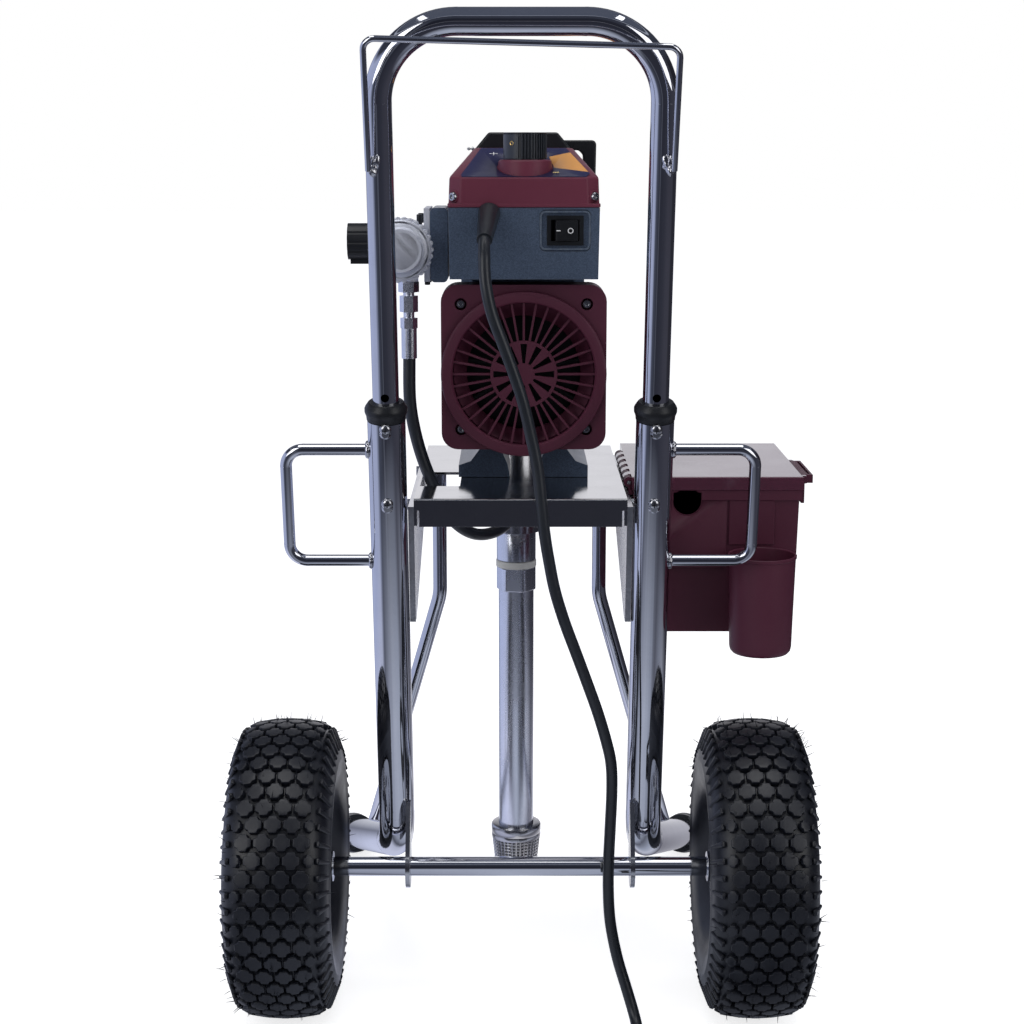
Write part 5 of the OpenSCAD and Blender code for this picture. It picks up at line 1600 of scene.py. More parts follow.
@dataclass
class Tyre(Assembly):
    """A pneumatic tyre with a tread of cross-shaped blocks, side ribs and moulding hairs."""

    side: int
    track: float = 416.0
    radius: float = 132.5
    rows: int = 27
    block_wide: float = 14.6
    block_long: float = 14.6
    pitch: float = 16.5
    block_high: float = 5.0
    hairs: int = 240
    hair_rows: Point = (-44.0, -40.0, -27.6, -9.2, 0.0, 18.4, 27.6, 40.0, 44.0)
    lug_x: float = 31.5
    rib_x: float = 41.8
    rib_r: float = 114.5
    rib_lean: float = 66.0
    wall: Outline = (
        (51.2, 28.6), (56.0, 28.9), (61.5, 29.8), (64.5, 31.6), (72.5, 40.2), (80.0, 43.2), (86.5, 44.9), (93.0, 45.6),
        (94.5, 46.5), (96.5, 46.5), (98.0, 45.8), (106.0, 45.0), (114.0, 42.6), (120.5, 37.4), (124.4, 28.8),
        (126.6, 15.6), (127.4, 0.0))
    crown: Outline = ((0.0, 132.5), (15.6, 131.6), (28.5, 129.5), (39.0, 124.5), (46.0, 112.0))

    @property
    def name(self) -> str:
        """The tyre's node."""
        return "tyre_right" if self.side > 0 else "tyre_left"

    @property
    def centre(self) -> tuple[float, float, float]:
        """The wheel's centre in millimetres."""
        return (self.side * self.track / 2, 0.0, self.radius)

    def crown_at(self, x: float) -> tuple[float, float]:
        """Gives the tread's radius and slope at a distance from the middle.

        Args:
            x: Millimetres from the middle of the tread.

        Returns:
            The radius in millimetres and the slope in radians.
        """
        for (x0, r0), (x1, r1) in zip(self.crown, self.crown[1:]):
            if abs(x) <= x1:
                t = (abs(x) - x0) / (x1 - x0)
                slope = math.atan2(r0 - r1, x1 - x0)
                return r0 + (r1 - r0) * t, math.copysign(slope, x) if x else 0.0
        return self.crown[-1][1], 0.0

    def place(self, x: float, turn: float) -> Matrix:
        """Gives the place of a block on the tread: across by x, round by a turn in degrees.

        Args:
            x: Millimetres from the middle of the tread.
            turn: Degrees round the tyre.

        Returns:
            The place in the model's frame.
        """
        r, slope = self.crown_at(x)
        return (Matrix.Translation(at(*self.centre)) @ Matrix.Rotation(math.radians(turn), 4, "X")
                @ Matrix.Translation(Vector((x, 0, r)) * MM) @ Matrix.Rotation(slope, 4, "Y"))

    def carcass(self) -> Piece:
        """Turns the tyre's body with its side ridges."""
        loop = [*self.wall, *((r, -x) for r, x in reversed(self.wall[:-1]))]
        return Bench.lathe("carcass", loop, self.centre, Axis.X.vector, 96, closed=True)

    def block(self) -> Piece:
        """Models one cross-shaped tread block at the origin, its top at height 0.

        Returns:
            The block.
        """
        Bench.clear()
        bpy.ops.mesh.primitive_grid_add(x_subdivisions=3, y_subdivisions=3, size=1)
        piece = bpy.context.object
        wide, long_, arm = self.block_wide * MM / 2, self.block_long * MM / 2, 0.3 * self.block_wide * MM
        for vertex in piece.data.vertices:
            x, y, _ = vertex.co
            inner_x, inner_y = abs(x) < 0.3, abs(y) < 0.3
            vertex.co.x = math.copysign(arm if inner_x else wide, x)
            vertex.co.y = math.copysign(arm if inner_y else long_, y)
            if inner_x != inner_y:
                if inner_x:
                    vertex.co.x *= 0.72
                else:
                    vertex.co.y *= 0.72
        Bench.edit(piece)
        Bench.choose(piece, lambda f: min(abs(f.calc_center_median().x), abs(f.calc_center_median().y)) > 0.001)
        bpy.ops.mesh.delete(type="FACE")
        Bench.whole()
        bpy.ops.mesh.extrude_region_move(TRANSFORM_OT_translate={"value": (0, 0, -self.block_high * MM)})
        bpy.ops.transform.resize(value=(1.03, 1.03, 1.0))
        Bench.heal(piece)
        Bench.soften(piece, 0.6, 1, 50)
        return piece

    def rib(self) -> Piece:
        """Models one shoulder rib at the origin, lying along X.

        Returns:
            The rib.
        """
        Bench.clear()
        bpy.ops.mesh.primitive_cube_add(size=1, scale=(0.021, 0.0055, 0.004))
        piece = Bench.settle(bpy.context.object, "rib")
        Bench.edit(piece)
        Bench.choose(piece, lambda f: f.normal.x > 0.9)
        bpy.ops.transform.resize(value=(1, 0.55, 0.5))
        Bench.heal(piece)
        Bench.soften(piece, 0.9, 1)
        return piece

    def tread(self) -> Piece:
        """Lays two rows of blocks and repeats them round the tyre.

        Returns:
            The tread as one piece.
        """
        block, rib = self.block(), self.rib()
        half_step = 180 / self.rows
        spots = [self.place(x * self.pitch, half_step) for x in (-1.5, -0.5, 0.5, 1.5)]
        spots += [self.place(x * self.pitch, 0.0) for x in (-1, 0, 1)]
        laid = Bench.copies(block, spots)
        half = Matrix.Scale(0.62, 4, (1, 0, 0)) @ Matrix.Scale(0.72, 4, (0, 1, 0))
        laid += Bench.copies(block, [self.place(x, 0.0) @ half for x in (-self.lug_x, self.lug_x)])
        for way in SIDES:
            flip = Matrix.Rotation(math.pi, 4, "Z") if way < 0 else Matrix.Identity(4)
            for turn in (0.0, half_step):
                middle = (Matrix.Translation(at(*self.centre)) @ Matrix.Rotation(math.radians(turn), 4, "X")
                          @ Matrix.Translation(Vector((way * self.rib_x, 0, self.rib_r)) * MM)
                          @ Matrix.Rotation(way * math.radians(self.rib_lean), 4, "Y") @ flip)
                laid += Bench.copies(rib, [middle])
        for model in (block, rib):
            bpy.data.objects.remove(model)
        piece = Bench.join("tread", laid)
        centre = at(*self.centre)
        hub = Bench.hang("turn", None)
        hub.matrix_world = (Matrix.Translation(centre) @ Matrix.Rotation(math.tau / self.rows, 4, "X")
                            @ Matrix.Translation(-centre))
        bpy.context.view_layer.update()
        Bench.modify(piece, "ARRAY", fit_type="FIXED_COUNT", count=self.rows, use_relative_offset=False,
                     use_object_offset=True, offset_object=hub)
        bpy.data.objects.remove(hub)
        return piece

    def whiskers(self) -> Piece:
        """Adds the thin rubber hairs that a new tyre carries.

        Returns:
            All the hairs as one piece.
        """
        rng = random.Random(7 + self.side)
        Bench.clear()
        bpy.ops.mesh.primitive_cone_add(vertices=4, radius1=0.00042, radius2=0.00012, depth=0.0075,
                                        location=(0, 0, 0.0035))
        hair = Bench.settle(bpy.context.object, "hair")
        Bench.modify(hair, "SIMPLE_DEFORM", deform_method="BEND", angle=0.5, deform_axis="X")
        spots = []
        while len(spots) < self.hairs:
            turn = rng.uniform(-150, 150)
            x = rng.choice(self.hair_rows) + rng.uniform(-2, 2)
            lean = Matrix.Rotation(rng.uniform(-0.5, 0.5), 4, "X") @ Matrix.Rotation(rng.uniform(-0.4, 0.4), 4, "Y")
            spots.append(self.place(x, turn) @ lean @ Matrix.Scale(rng.uniform(0.6, 1.15), 4))
        return Bench.join("whiskers", Bench.repeat(hair, spots))

    def build(self) -> None:
        """Builds the tyre as one piece."""
        self.stand_in(self.name, self.carcass(), self.tread(), self.whiskers(), finish="tyre_rubber")


@dataclass
class Castings(Assembly):
    """The frame's nodes with the roundings that casting, moulding and folding leave."""

    widths: tuple[tuple[str, float], ...] = (
        ("gear_housing", 2.5), ("pump_head", 3.0), ("motor_housing", 0.8), ("gussets", 0.3),
        ("box_latch", 0.6), ("manifold_block", 1.0),
        ("switch_bezel", 0.9), ("switch_rocker", 0.6), ("strain_relief", 0.6), ("rubber_feet", 0.8),
        ("packing_nut", 0.5), ("frame_bolts", 0.3), ("axle_lugs", 0.4), ("axle_caps", 0.5),
        ("rim_left", 0.6), ("rim_right", 0.6), ("prime_knob", 0.6), ("axle", 0.5), ("hub_bushes_left", 0.4),
        ("hub_bushes_right", 0.4))
    fold: float = 2.2
    facing: float = -0.6

    def build(self) -> None:
        """Rounds every casting, moulding and folded plate."""
        for node, width in self.widths:
            piece = self.shop.refine(node, width)
            if node == "gussets":
                self.saw(piece)
        self.roll()
        self.shop.refine("hose_fittings", 0.4, "brushed_steel")

    def roll(self) -> None:
        """Rounds the folded front edge of the platform."""
        piece = self.plain_copy("platform")
        (x0, y0, _), (x1, _, z1) = ([v / MM + o for v, o in zip(corner, (*ORIGIN.xy, 0))]
                                    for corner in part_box("platform"))
        r = self.fold
        Bench.cut(piece, Bench.slab("corner", (x0 - 1, y0 - 1, z1 - r), (x1 + 1, y0 + r, z1 + 1), 0))
        Bench.soften(piece, 0.5, 2)
        self.stand_in("platform", piece)
        fold = Bench.rod("fold", Vector((x0, y0 + r, z1 - r)), Vector((x1, y0 + r, z1 - r)), r, 24, 0)
        self.beside("platform", "platform_fold", fold)

    def saw(self, piece: Piece) -> None:
        """Gives the cut front edges of the gussets their rough finish.

        Args:
            piece: The gussets.
        """
        piece.data.materials.append(self.shop.finishes.by_name["sawn_steel"])
        slot = len(piece.data.materials) - 1
        for face in piece.data.polygons:
            if face.normal.y < self.facing:
                face.material_index = slot


@dataclass
class FanGuard(Assembly):
    """The square guard of the motor's fan: wall, ring, ribs, hub and sunk screws."""

    middle: tuple[float, float] = (2.8, 576.2)
    wide: float = 142.0
    low: float = 510.5
    high: float = 142.0
    corner: float = 14.5
    back: float = 10.0
    deep: float = 36.0
    wall: float = 2.5
    opening: float = 61.2
    ring: float = 71.2
    hub: float = 28.9
    ribs: int = 36
    rib_wide: float = 2.0
    vents: int = 12
    screw_x: float = 54.0
    screw_z: tuple[float, float] = (528.0, 636.0)
    corner_x: float = 59.4
    head: Outline = ((0.01, -1.2), (1.5, -1.2), (1.9, -2.6), (3.2, -2.4), (4.0, -1.2), (4.1, 0.0), (2.0, 0.2),
                     (2.0, 5.0), (0.01, 5.0))
    well: Outline = ((5.2, 2.0), (5.2, 10.0), (0.01, 10.0), (0.01, 12.0), (7.2, 12.0), (7.2, 2.0))

    def outline(self, inset: float) -> Outline:
        """Gives the guard's rounded square, smaller by an inset.

        Args:
            inset: How much smaller it is on every side.

        Returns:
            The outline.
        """
        x = self.wide / 2 - inset
        low, high = self.low + inset, self.low + self.high - inset
        middle = self.middle[0]
        return rounded([(middle - x, low), (middle + x, low), (middle + x, high), (middle - x, high)],
                       self.corner - inset, 7)

    def disc(self, name: str, radius: float, low: float, high: float, spot: Point | None = None) -> Piece:
        """Makes a plain disc across the fan's axis."""
        x, z = spot or self.middle
        return Bench.plate(name, arc((x, z), radius, 0, 354, 59), low, high, bevel=0)

    def holes(self) -> Outline:
        """Gives the places of the four screws, each as (x, z)."""
        return [(self.middle[0] + x * self.screw_x, z) for x in SIDES for z in self.screw_z]

    def shell(self) -> Piece:
        """Makes the guard's wall with its round opening and screw wells.

        Returns:
            The wall.
        """
        shell = Bench.plate("shell", self.outline(0), self.back, self.back + self.deep, bevel=0)
        hollow = Bench.plate("hollow", self.outline(self.wall), self.back + 3, self.back + self.deep + 1, bevel=0)
        Bench.cut(shell, hollow, self.disc("opening", self.opening, self.back - 1, self.back + 6))
        for x, z in self.holes():
            Bench.cut(shell, self.disc("well", 5.2, self.back - 1, self.back + 5, (x, z)))
        Bench.soften(shell, 1.3, 3, 40)
        return shell

    def wells(self) -> list[Piece]:
        """Makes the tubes behind the four screw holes."""
        return [Bench.lathe("well_tube", self.well, (x, self.back, z), Axis.Y.vector, 32, closed=True)
                for x, z in self.holes()]

    def grille(self) -> list[Piece]:
        """Makes the ring, the radial ribs, the vented hub and the inlet behind them.

        Returns:
            The pieces.
        """
        x, z = self.middle
        spot = (x, self.back, z)
        lip = [(self.opening, 6.0), (self.opening, -4.2), (self.opening + 1.4, -6.0), (self.ring - 2.2, -6.0),
               (self.ring - 0.6, -5.2), (self.ring, -3.6), (self.ring, 6.0)]
        ring = Bench.lathe("ring", lip, spot, Axis.Y.vector, 96, closed=True)
        inlet = Bench.lathe("inlet", [(self.opening + 1, 2), (self.opening - 10, 13), (self.opening - 12, 13),
                                      (self.opening - 1, 2)], spot, Axis.Y.vector, 72, closed=True)
        rib = Bench.slab("rib", (x - self.rib_wide / 2, self.back - 2.5, z + self.hub - 1.5),
                         (x + self.rib_wide / 2, self.back + 3, z + self.opening + 1), 0.45, 2)
        ribs = Bench.repeat(rib, [spin_about(spot, Axis.Y, k * 360 / self.ribs) for k in range(self.ribs)])
        hub = self.disc("hub", self.hub, self.back - 3, self.back + 2)
        vent = Bench.plate("vent", [(x + 9.5, z - 1.1), (x + self.hub - 2.8, z - 2.9), (x + self.hub - 2.8, z + 2.9),
                                    (x + 9.5, z + 1.1)], self.back - 5, self.back + 5, bevel=0)
        vents = Bench.repeat(vent, [spin_about(spot, Axis.Y, k * 360 / self.vents) for k in range(self.vents)])
        Bench.cut(hub, Bench.join("vents", vents))
        Bench.soften(hub, 0.5, 2, 40)
        return [ring, inlet, hub, *ribs]

    def screws(self) -> None:
        """Sinks the four screws of the guard and the two of the control cover's corners."""
        made = []
        for x in SIDES:
            for z in self.screw_z:
                made.append(Bench.lathe("screw", self.head, (self.middle[0] + x * self.screw_x, self.back + 3.4, z),
                                        Axis.Y.vector, 24))
            way = Vector((-x, 1, 0)).normalized()
            corner = Vector((self.middle[0] + x * self.corner_x, 4.6, CORNER_SCREW_Z))
            made.append(Bench.lathe("screw", self.head, corner, way, 24))
        self.stand_in("cover_screws", *made, finish="machined_steel")

    def build(self) -> None:
        """Builds the guard as one piece, and its screws."""
        self.stand_in("fan_cover", self.shell(), *self.wells(), *self.grille())
        self.screws()


@dataclass
class ControlHead(Assembly):
    """The control box: casting, moulded cover, printed film, dial and switch marks."""

    middle: float = 2.8
    half: float = 64.0
    long_: float = 148.0
    top: float = 717.8
    panel_low: float = 742.8
    panel_high: float = 766.8
    panel_rise: float = 75.0
    chamfer: float = 10.0
    crown: float = 20.0
    knob_y: float = 25.0
    boss: float = 23.0
    boss_top: float = 757.3
    knob: float = 18.5
    knob_high: float = 22.5
    grips: int = 44
    plain: tuple[float, float] = (184.0, 252.0)
    set_screw: float = 232.0
    well: Outline = ((4.3, -0.9), (4.9, -0.9), (5.2, -0.2), (5.2, 3.0), (4.3, 3.0))
    screw: Outline = ((0.01, -1.6), (0.9, -1.6), (1.0, -0.2), (1.9, 0.05), (2.1, -0.4), (2.1, -3))
    switch: tuple[float, float] = (37.6, 698.8)

    @property
    def tilt(self) -> float:
        """Slope of the panel in radians."""
        return math.atan2(self.panel_high - self.panel_low, self.panel_rise)

    def plan(self, z: float, half: float, front: float, corner: float) -> list[Point]:
        """Gives one level of the cover: a rectangle with its two near corners cut off.

        Args:
            z: Its height.
            half: Half its width.
            front: Where its near side lies.
            corner: How much of the two near corners is cut off.

        Returns:
            Its corners.
        """
        x, back = self.middle, self.long_
        return [(x - half, back, z), (x - half, front + corner, z), (x - half + corner, front, z),
                (x + half - corner, front, z), (x + half, front + corner, z), (x + half, back, z)]

    def cover(self) -> None:
        """Makes the moulded cover with its flange and the boss of the dial."""
        half = self.half - 1
        body = Bench.hull("body", self.plan(self.top + 0.3, self.half, 0, self.chamfer)
                          + self.plan(self.panel_low, half, 0, self.chamfer)
                          + self.plan(self.panel_high, half - self.crown, self.panel_rise, self.chamfer / 2), 1.6, 4)
        edge = self.half + 0.5
        x = self.middle
        flange = Bench.plate("flange", [(x - edge, self.long_), (x - edge, 1.5), (x - edge + 2, -0.5),
                                        (x + edge - 2, -0.5), (x + edge, 1.5), (x + edge, self.long_)],
                             self.top + 0.3, self.top + 3.5, Axis.Z, 0.7, 3)
        wells = []
        for side in SIDES:
            way = Vector((-side, 1, 0)).normalized()
            spot = Vector((x + side * 59, 5, CORNER_SCREW_Z))
            wells.append(Bench.lathe("well", self.well, spot, way, 32, closed=True))
        boss = Bench.lathe("boss", [(0.01, -15.5), (self.boss + 0.6, -15.5), (self.boss, -3.5),
                                    (self.boss - 0.5, -1.2), (self.boss - 1.8, 0.0), (self.knob - 1, 0.0),
                                    (self.knob - 1.6, -0.6), (0.01, -0.6)],
                           (x + 1, self.knob_y, self.boss_top), Axis.Z.vector, 72)
        # The cover takes the lighter maroon copy: painted light on its sloping front.
        self.stand_in("control_cover", body, flange, boss, *wells, finish="maroon_cover")

    def film(self) -> None:
        """Lays the printed film on the slope, with a plus and a minus sign."""
        x, length = self.middle, math.hypot(self.panel_rise, self.panel_high - self.panel_low)
        low, high = self.half - 1 - self.chamfer - 0.8, self.half - 1 - self.crown - self.chamfer / 2 - 0.8
        film = Bench.plate("film", [(x - low, 1.2), (x + low, 1.2), (x + low + 3.2, 9.5), (x + high, length - 1.2),
                                    (x - high, length - 1.2), (x - low - 0.8, 6.5)],
                           self.panel_low + 0.1, self.panel_low + 0.5, Axis.Z, 0.0)
        signs = [Bench.slab("bar", (x - 26 - 3.6, 61.4, 0), (x - 26 + 3.6, 62.2, 0.3), 0.1, 1),
                 Bench.slab("bar", (x - 26 - 0.4, 57.9, 0), (x - 26 + 0.4, 65.7, 0.3), 0.1, 1),
                 Bench.slab("minus", (x + 24.3, 11.0, 0), (x + 29.6, 12.6, 0.3), 0.1, 1)]
        slope = spin_about((x, 0, self.panel_low), Axis.X, math.degrees(self.tilt))
        lift = Matrix.Translation(Vector((0, 0, self.panel_low + 0.4)) * MM)
        film.data.transform(slope)
        for sign in signs:
            sign.data.transform(slope @ lift)
        hole = Bench.lathe("hole", [(0.01, 0), (self.boss + 0.9, 0), (self.boss + 0.9, 60), (0.01, 60)],
                           (x + 1, self.knob_y, self.panel_low - 20), Axis.Z.vector, 64)
        Bench.heal(hole)
        Bench.cut(film, hole)
        self.stand_in("control_label", film, finish="label_film")
        self.beside("control_label", "plus_sign", *signs[:2], finish="white_ink")
        self.beside("control_label", "minus_sign", signs[2], finish="yellow_ink")

    def dial(self) -> None:
        """Makes the dial with its fine grips, plain sector and brass set screw."""
        spot = (self.middle + 1, self.knob_y, self.boss_top + 0.3)
        r, high = self.knob, self.knob_high
        body = Bench.lathe("body", [(0.01, 0), (r - 1.4, 0), (r - 1.4, high - 1.2), (r - 0.4, high - 1.1),
                                    (r, high - 0.7), (r - 0.1, high - 0.2), (r - 0.8, high), (r - 3.0, high - 0.1),
                                    (r - 3.6, high - 0.7), (0.01, high - 0.7)], spot, Axis.Z.vector, 96)
        start, end = self.plain
        plain = Bench.plate("plain", arc(spot[:2], r - 0.1, start, end, 16) + arc(spot[:2], r - 2, end, start, 16),
                            spot[2] + 0.4, spot[2] + high - 1.5, Axis.Z, 0.4, 2)
        grip = Bench.slab("grip", (spot[0] + r - 2, spot[1] - 0.62, spot[2] + 0.4),
                          (spot[0] + r, spot[1] + 0.62, spot[2] + high - 1), 0.35, 2)
        turns = [k * 360 / self.grips for k in range(self.grips)]
        grips = Bench.repeat(grip, [spin_about(spot, Axis.Z, t) for t in turns if not start - 2 < t < end + 2])
        self.stand_in("pressure_knob", body, plain, *grips, finish="dial_plastic")
        turn = math.radians(self.set_screw)
        way = Vector((math.cos(turn), math.sin(turn), 0))
        screw = Bench.lathe("set_screw", self.screw,
                            Vector(spot) + way * (r + 0.1) + Vector((0, 0, high * 0.6)), way, 24)
        self.beside("pressure_knob", "set_screw", screw, finish="brass")

    def marks(self) -> None:
        """Prints the bar and the ring of the switch on its rocker."""
        front = self.near_side("switch_rocker")
        x, z = self.switch
        bar = Bench.slab("bar", (x - 7.6, front - 0.15, z - 0.45), (x - 4.0, front + 0.6, z + 0.45), 0.1, 1)
        ring = Bench.lathe("ring", [(1.7, -0.15), (2.4, -0.15), (2.4, 0.6), (1.7, 0.6)], (x + 4.4, front, z),
                           Axis.Y.vector, 32, closed=True)
        self.beside("switch_rocker", "switch_marks", bar, ring, finish="white_ink")

    def recess(self) -> None:
        """Raises the rim round the switch's recess, all in the lighter rubbed-edge finish: worn paint and a painted
        highlight on the rim.
        """
        front = self.near_side("control_box")
        x, z = self.switch
        frames = [rounded([(x - w, z - h), (x + w, z - h), (x + w, z + h), (x - w, z + h)], r, 6)
                  for w, h, r in ((21.4, 16.4, 4.4), (19.8, 14.8, 3.2))]
        rim = Bench.plate("rim", frames[0], front - 0.5, front + 1.4, bevel=0.0)
        Bench.cut(rim, Bench.plate("hole", frames[1], front - 2, front + 3, bevel=0.0))
        Bench.soften(rim, 0.45, 2, 40, 1)
        # The lighter rubbed finish is partly worn paint and partly a painted highlight on the rim.
        self.beside("control_box", "switch_rim", rim, finish="slate_paint_edge")

    def build(self) -> None:
        """Builds the control head."""
        self.recess()
        self.shop.refine("control_box", 1.2)
        self.cover()
        self.film()
        self.dial()
        self.marks()


@dataclass
class DriveHead(Assembly):
    """The black cover behind the control box and the carrying handle."""

    middle: float = 2.8
    low: float = 717.1
    half: float = 45.0
    ridge: float = 31.5
    mid: float = 764.8
    high: float = 780.8
    near: float = 150.6
    far: float = 250.0
    grip_in: float = 57.0
    grip_out: float = 69.5
    grip_near: float = 207.0
    grip_far: float = 223.0
    pin_y: float = 215.0
    pin_z: float = 765.8

    def build(self) -> None:
        """Builds the cover, the handle and its pin."""
        x = self.middle
        cover = Bench.plate("cover", [
            (x - self.half, self.low), (x + self.half, self.low), (x + self.half, self.mid),
            (x + self.ridge, self.high), (x - self.ridge, self.high), (x - self.half, self.mid)],
            self.near, self.far, bevel=2.2, segments=4)
        self.stand_in("top_cover", cover)
        inner, outer, top, low = x + self.grip_in, x + self.grip_out, self.high - 7, self.low - 19
        outline = rounded([(x + 20, top), (x + 20, top - 9.5), (inner - 4, top - 9.5), (inner, top - 13.5),
                           (inner, low), (outer - 1, low), (outer, top)], 4.4, 6)
        handle = Bench.plate("handle", outline, self.grip_near, self.grip_far, bevel=1.8, segments=3)
        self.stand_in("carry_handle", handle)
        y, z = self.pin_y, self.pin_z
        pin = [Bench.rod("pin", Vector((start, y, z)), Vector((end, y, z)), radius, 16) for start, end, radius in
               ((-50, x - self.half + 2, 0.9), (-49, -47.4, 1.6), (-45.4, -43.6, 1.8))]
        self.beside("top_cover", "cover_pin", *pin, finish="machined_steel")


@dataclass
class FluidSide(Assembly):
    """The filter body, its clamp ring, flat cap and bolts, and the filter's mesh element."""

    x: float = -101.2
    z: float = 682.5
    near: float = -13.0
    grips: int = 30
    grip_reach: float = 25.2
    cap: Outline = ((0.01, 0.0), (15.6, 0.0), (17.2, 0.4), (18.3, 1.6), (18.6, 3.2), (18.6, 5.0), (19.6, 6.6),
                    (21.6, 7.0), (22.6, 8.0))
    band: Outline = ((19.0, 8.0), (24.0, 8.0), (25.4, 9.4), (25.4, 21.0), (24.5, 22.0), (19.0, 22.0))
    bolts: tuple[Point, ...] = ((-86.5, 703, 711.5), (-80.0, 651.5, 658))

    def build(self) -> None:
        """Builds the filter's outside."""
        spot = (self.x, self.near, self.z)
        cap = Bench.lathe("cap", self.cap, spot, Axis.Y.vector, 72)
        ring = []
        for k in range(self.grips):
            turn = math.radians(k * 360 / self.grips)
            place = Vector((self.x + self.grip_reach * math.cos(turn), self.near + 15,
                            self.z + self.grip_reach * math.sin(turn)))
            ring.append(Bench.rod("grip", place - Vector((0, 5, 0)), place + Vector((0, 6, 0)), 2.5, 12, 0.6))
        band = Bench.lathe("band", self.band, spot, Axis.Y.vector, 72, closed=True)
        self.shop.refine("filter_bowl", 1.0, "satin_alloy")
        self.beside("filter_bowl", "filter_cap", cap, band, *ring, finish="satin_alloy")
        bolts = [Bench.rod("bolt", Vector((x, y, low)), Vector((x, y, high)), 2.4, 16, 0.5)
                 for x, low, high in self.bolts for y in (24, 54)]
        self.beside("filter_bowl", "flange_bolts", *bolts, finish="black_plastic")
        self.shop.refine("filter_element", 0.2, "filter_mesh", 1)


@dataclass
class CartFrame(Assembly):
    """What is welded, clipped and pushed on to the cart's tubes."""

    upright: float = 112.0
    hook_z: float = 846.0
    reach: float = 35.0
    hook_d: float = 5.0
    brace_d: float = 13.8
    brace_foot: Point = (150, 250, 80)
    brace_knee: Point = (78, 205, 335)
    brace_top: float = 473.0
    grab_z: tuple[tuple[float, int], ...] = ((519.0, 21), (419.5, 23))
    collar_z: float = 545.0
    screw_z: tuple[float, float] = (538.5, 473.5)
    dome: Outline = ((0.01, 2.9), (2.2, 2.7), (3.8, 2.0), (4.8, 0.9), (5.1, -0.6))
    collar: Outline = ((11.2, 0.3), (15.8, 0.3), (16.4, 0.9), (16.7, 4.0), (17.5, 6.2), (18.0, 7.6), (18.0, 10.6),
                       (17.4, 12.0), (15.8, 14.4), (15.0, 15.6), (14.2, 16.2), (11.1, 16.3))

    @staticmethod
    def weld(spot: Vector, size: Point, seed: int) -> Piece:
        """Makes an uneven blob of weld metal.

        Args:
            spot: Its middle in millimetres.
            size: Half its length along each axis.
            seed: Seed of its unevenness.

        Returns:
            The blob.
        """
        Bench.clear()
        bpy.ops.mesh.primitive_uv_sphere_add(segments=28, ring_count=18, radius=MM)
        blob = bpy.context.object
        rng = random.Random(seed)
        waves = [(Vector((rng.uniform(-1, 1), rng.uniform(-1, 1), rng.uniform(-1, 1))) * 5, rng.uniform(0, 6))
                 for _ in range(5)]
        for vertex in blob.data.vertices:
            n = vertex.co.normalized()
            swell = 1 + sum(0.07 * math.sin(n.dot(way) + phase) for way, phase in waves)
            vertex.co = Vector((n.x * size[0], n.y * size[1], n.z * size[2])) * swell * MM
        blob.location = at(*spot)
        Bench.settle(blob, "weld")
        bpy.ops.object.shade_smooth()
        return blob

    def hook(self) -> None:
        """Bends the hose hook, a little out of level as on the real cart, and welds its ends."""
        out = self.upright + 8
        lift = {-1: 2.8, 1: -3.6}
        route = []
        for side in SIDES:
            leg = [lean_at(side * out, self.hook_z - 96, -14),
                   lean_at(side * out, self.hook_z + lift[side], -self.reach)]
            route += leg if side < 0 else leg[::-1]
        self.stand_in("hose_hook", self.bar("hook", self.bend(route, 9.0), self.hook_d / 2))
        welds = []
        for side in SIDES:
            spot = lean_at(side * (self.upright + 3.5), self.hook_z - 92, -10)
            for (x, y, z), size, seed in (((-4.5, 1, 10), (5.0, 3.6, 6.5), 3), ((-1, 0, 3), (4.6, 4.0, 6.5), 7),
                                          ((1.5, -1, -4), (3.4, 3.6, 4.4), 11)):
                welds.append(self.weld(spot + Vector((side * x, y, z)), size, seed + side))
        self.beside("hose_hook", "hook_welds", *welds, finish="weld_metal")

    @staticmethod
    def bend(corners: Sequence[Vector], radius: float, steps: int = 7) -> list[Vector]:
        """Rounds the corners of a route in space.

        Args:
            corners: The route.
            radius: Radius of every bend.
            steps: Steps round each bend.

        Returns:
            The points of the bent route.
        """
        line = [corners[0]]
        for before, here, after in zip(corners, corners[1:], corners[2:]):
            back, on = (before - here).normalized(), (after - here).normalized()
            half = back.angle(on) / 2
            if half > 1.45:
                line.append(here)
                continue
            centre = here + (back + on).normalized() * (radius / math.sin(half))
            reach = radius / math.tan(half)
            first, last = here + back * reach - centre, here + on * reach - centre
            line += [centre + first.normalized().slerp(last.normalized(), s / steps) * radius for s in range(steps + 1)]
        return line + [corners[-1]]

    @staticmethod
    def bar(name: str, line: Sequence[Vector], radius: float) -> Piece:
        """Makes a round bar along a line in millimetres.

        Args:
            name: Its name.
            line: The line.
            radius: Its radius.

        Returns:
            The bar.
        """
        Bench.pick(Bench.curve(name, [at(*p) for p in line], radius, 7))
        bpy.ops.object.convert(target="MESH")
        return bpy.context.object

    def braces(self) -> None:
        """Bends the two braces under the platform."""
        made = []
        for side in SIDES:
            x, y, z = self.brace_knee
            route = [Vector((side * x, y, self.brace_top)), Vector((side * x, y, z)),
                     Vector((side * self.brace_foot[0], *self.brace_foot[1:]))]
            made.append(self.bar("brace", self.bend(route, 50.0, 10), self.brace_d / 2))
        self.stand_in("braces", *made)

    def grabs(self) -> None:
        """Adds the welds where the grab handles meet the tubes."""
        welds = []
        for side in SIDES:
            for z, seed in self.grab_z:
                spot = lean_at(side * (self.upright + 16.2), z)
                welds.append(Bench.ring_bead("bead", spot, Axis.X.vector, 5.6, 1.7, 11, seed + side))
        self.beside("grab_handle_right", "grab_welds", *welds, finish="weld_metal")

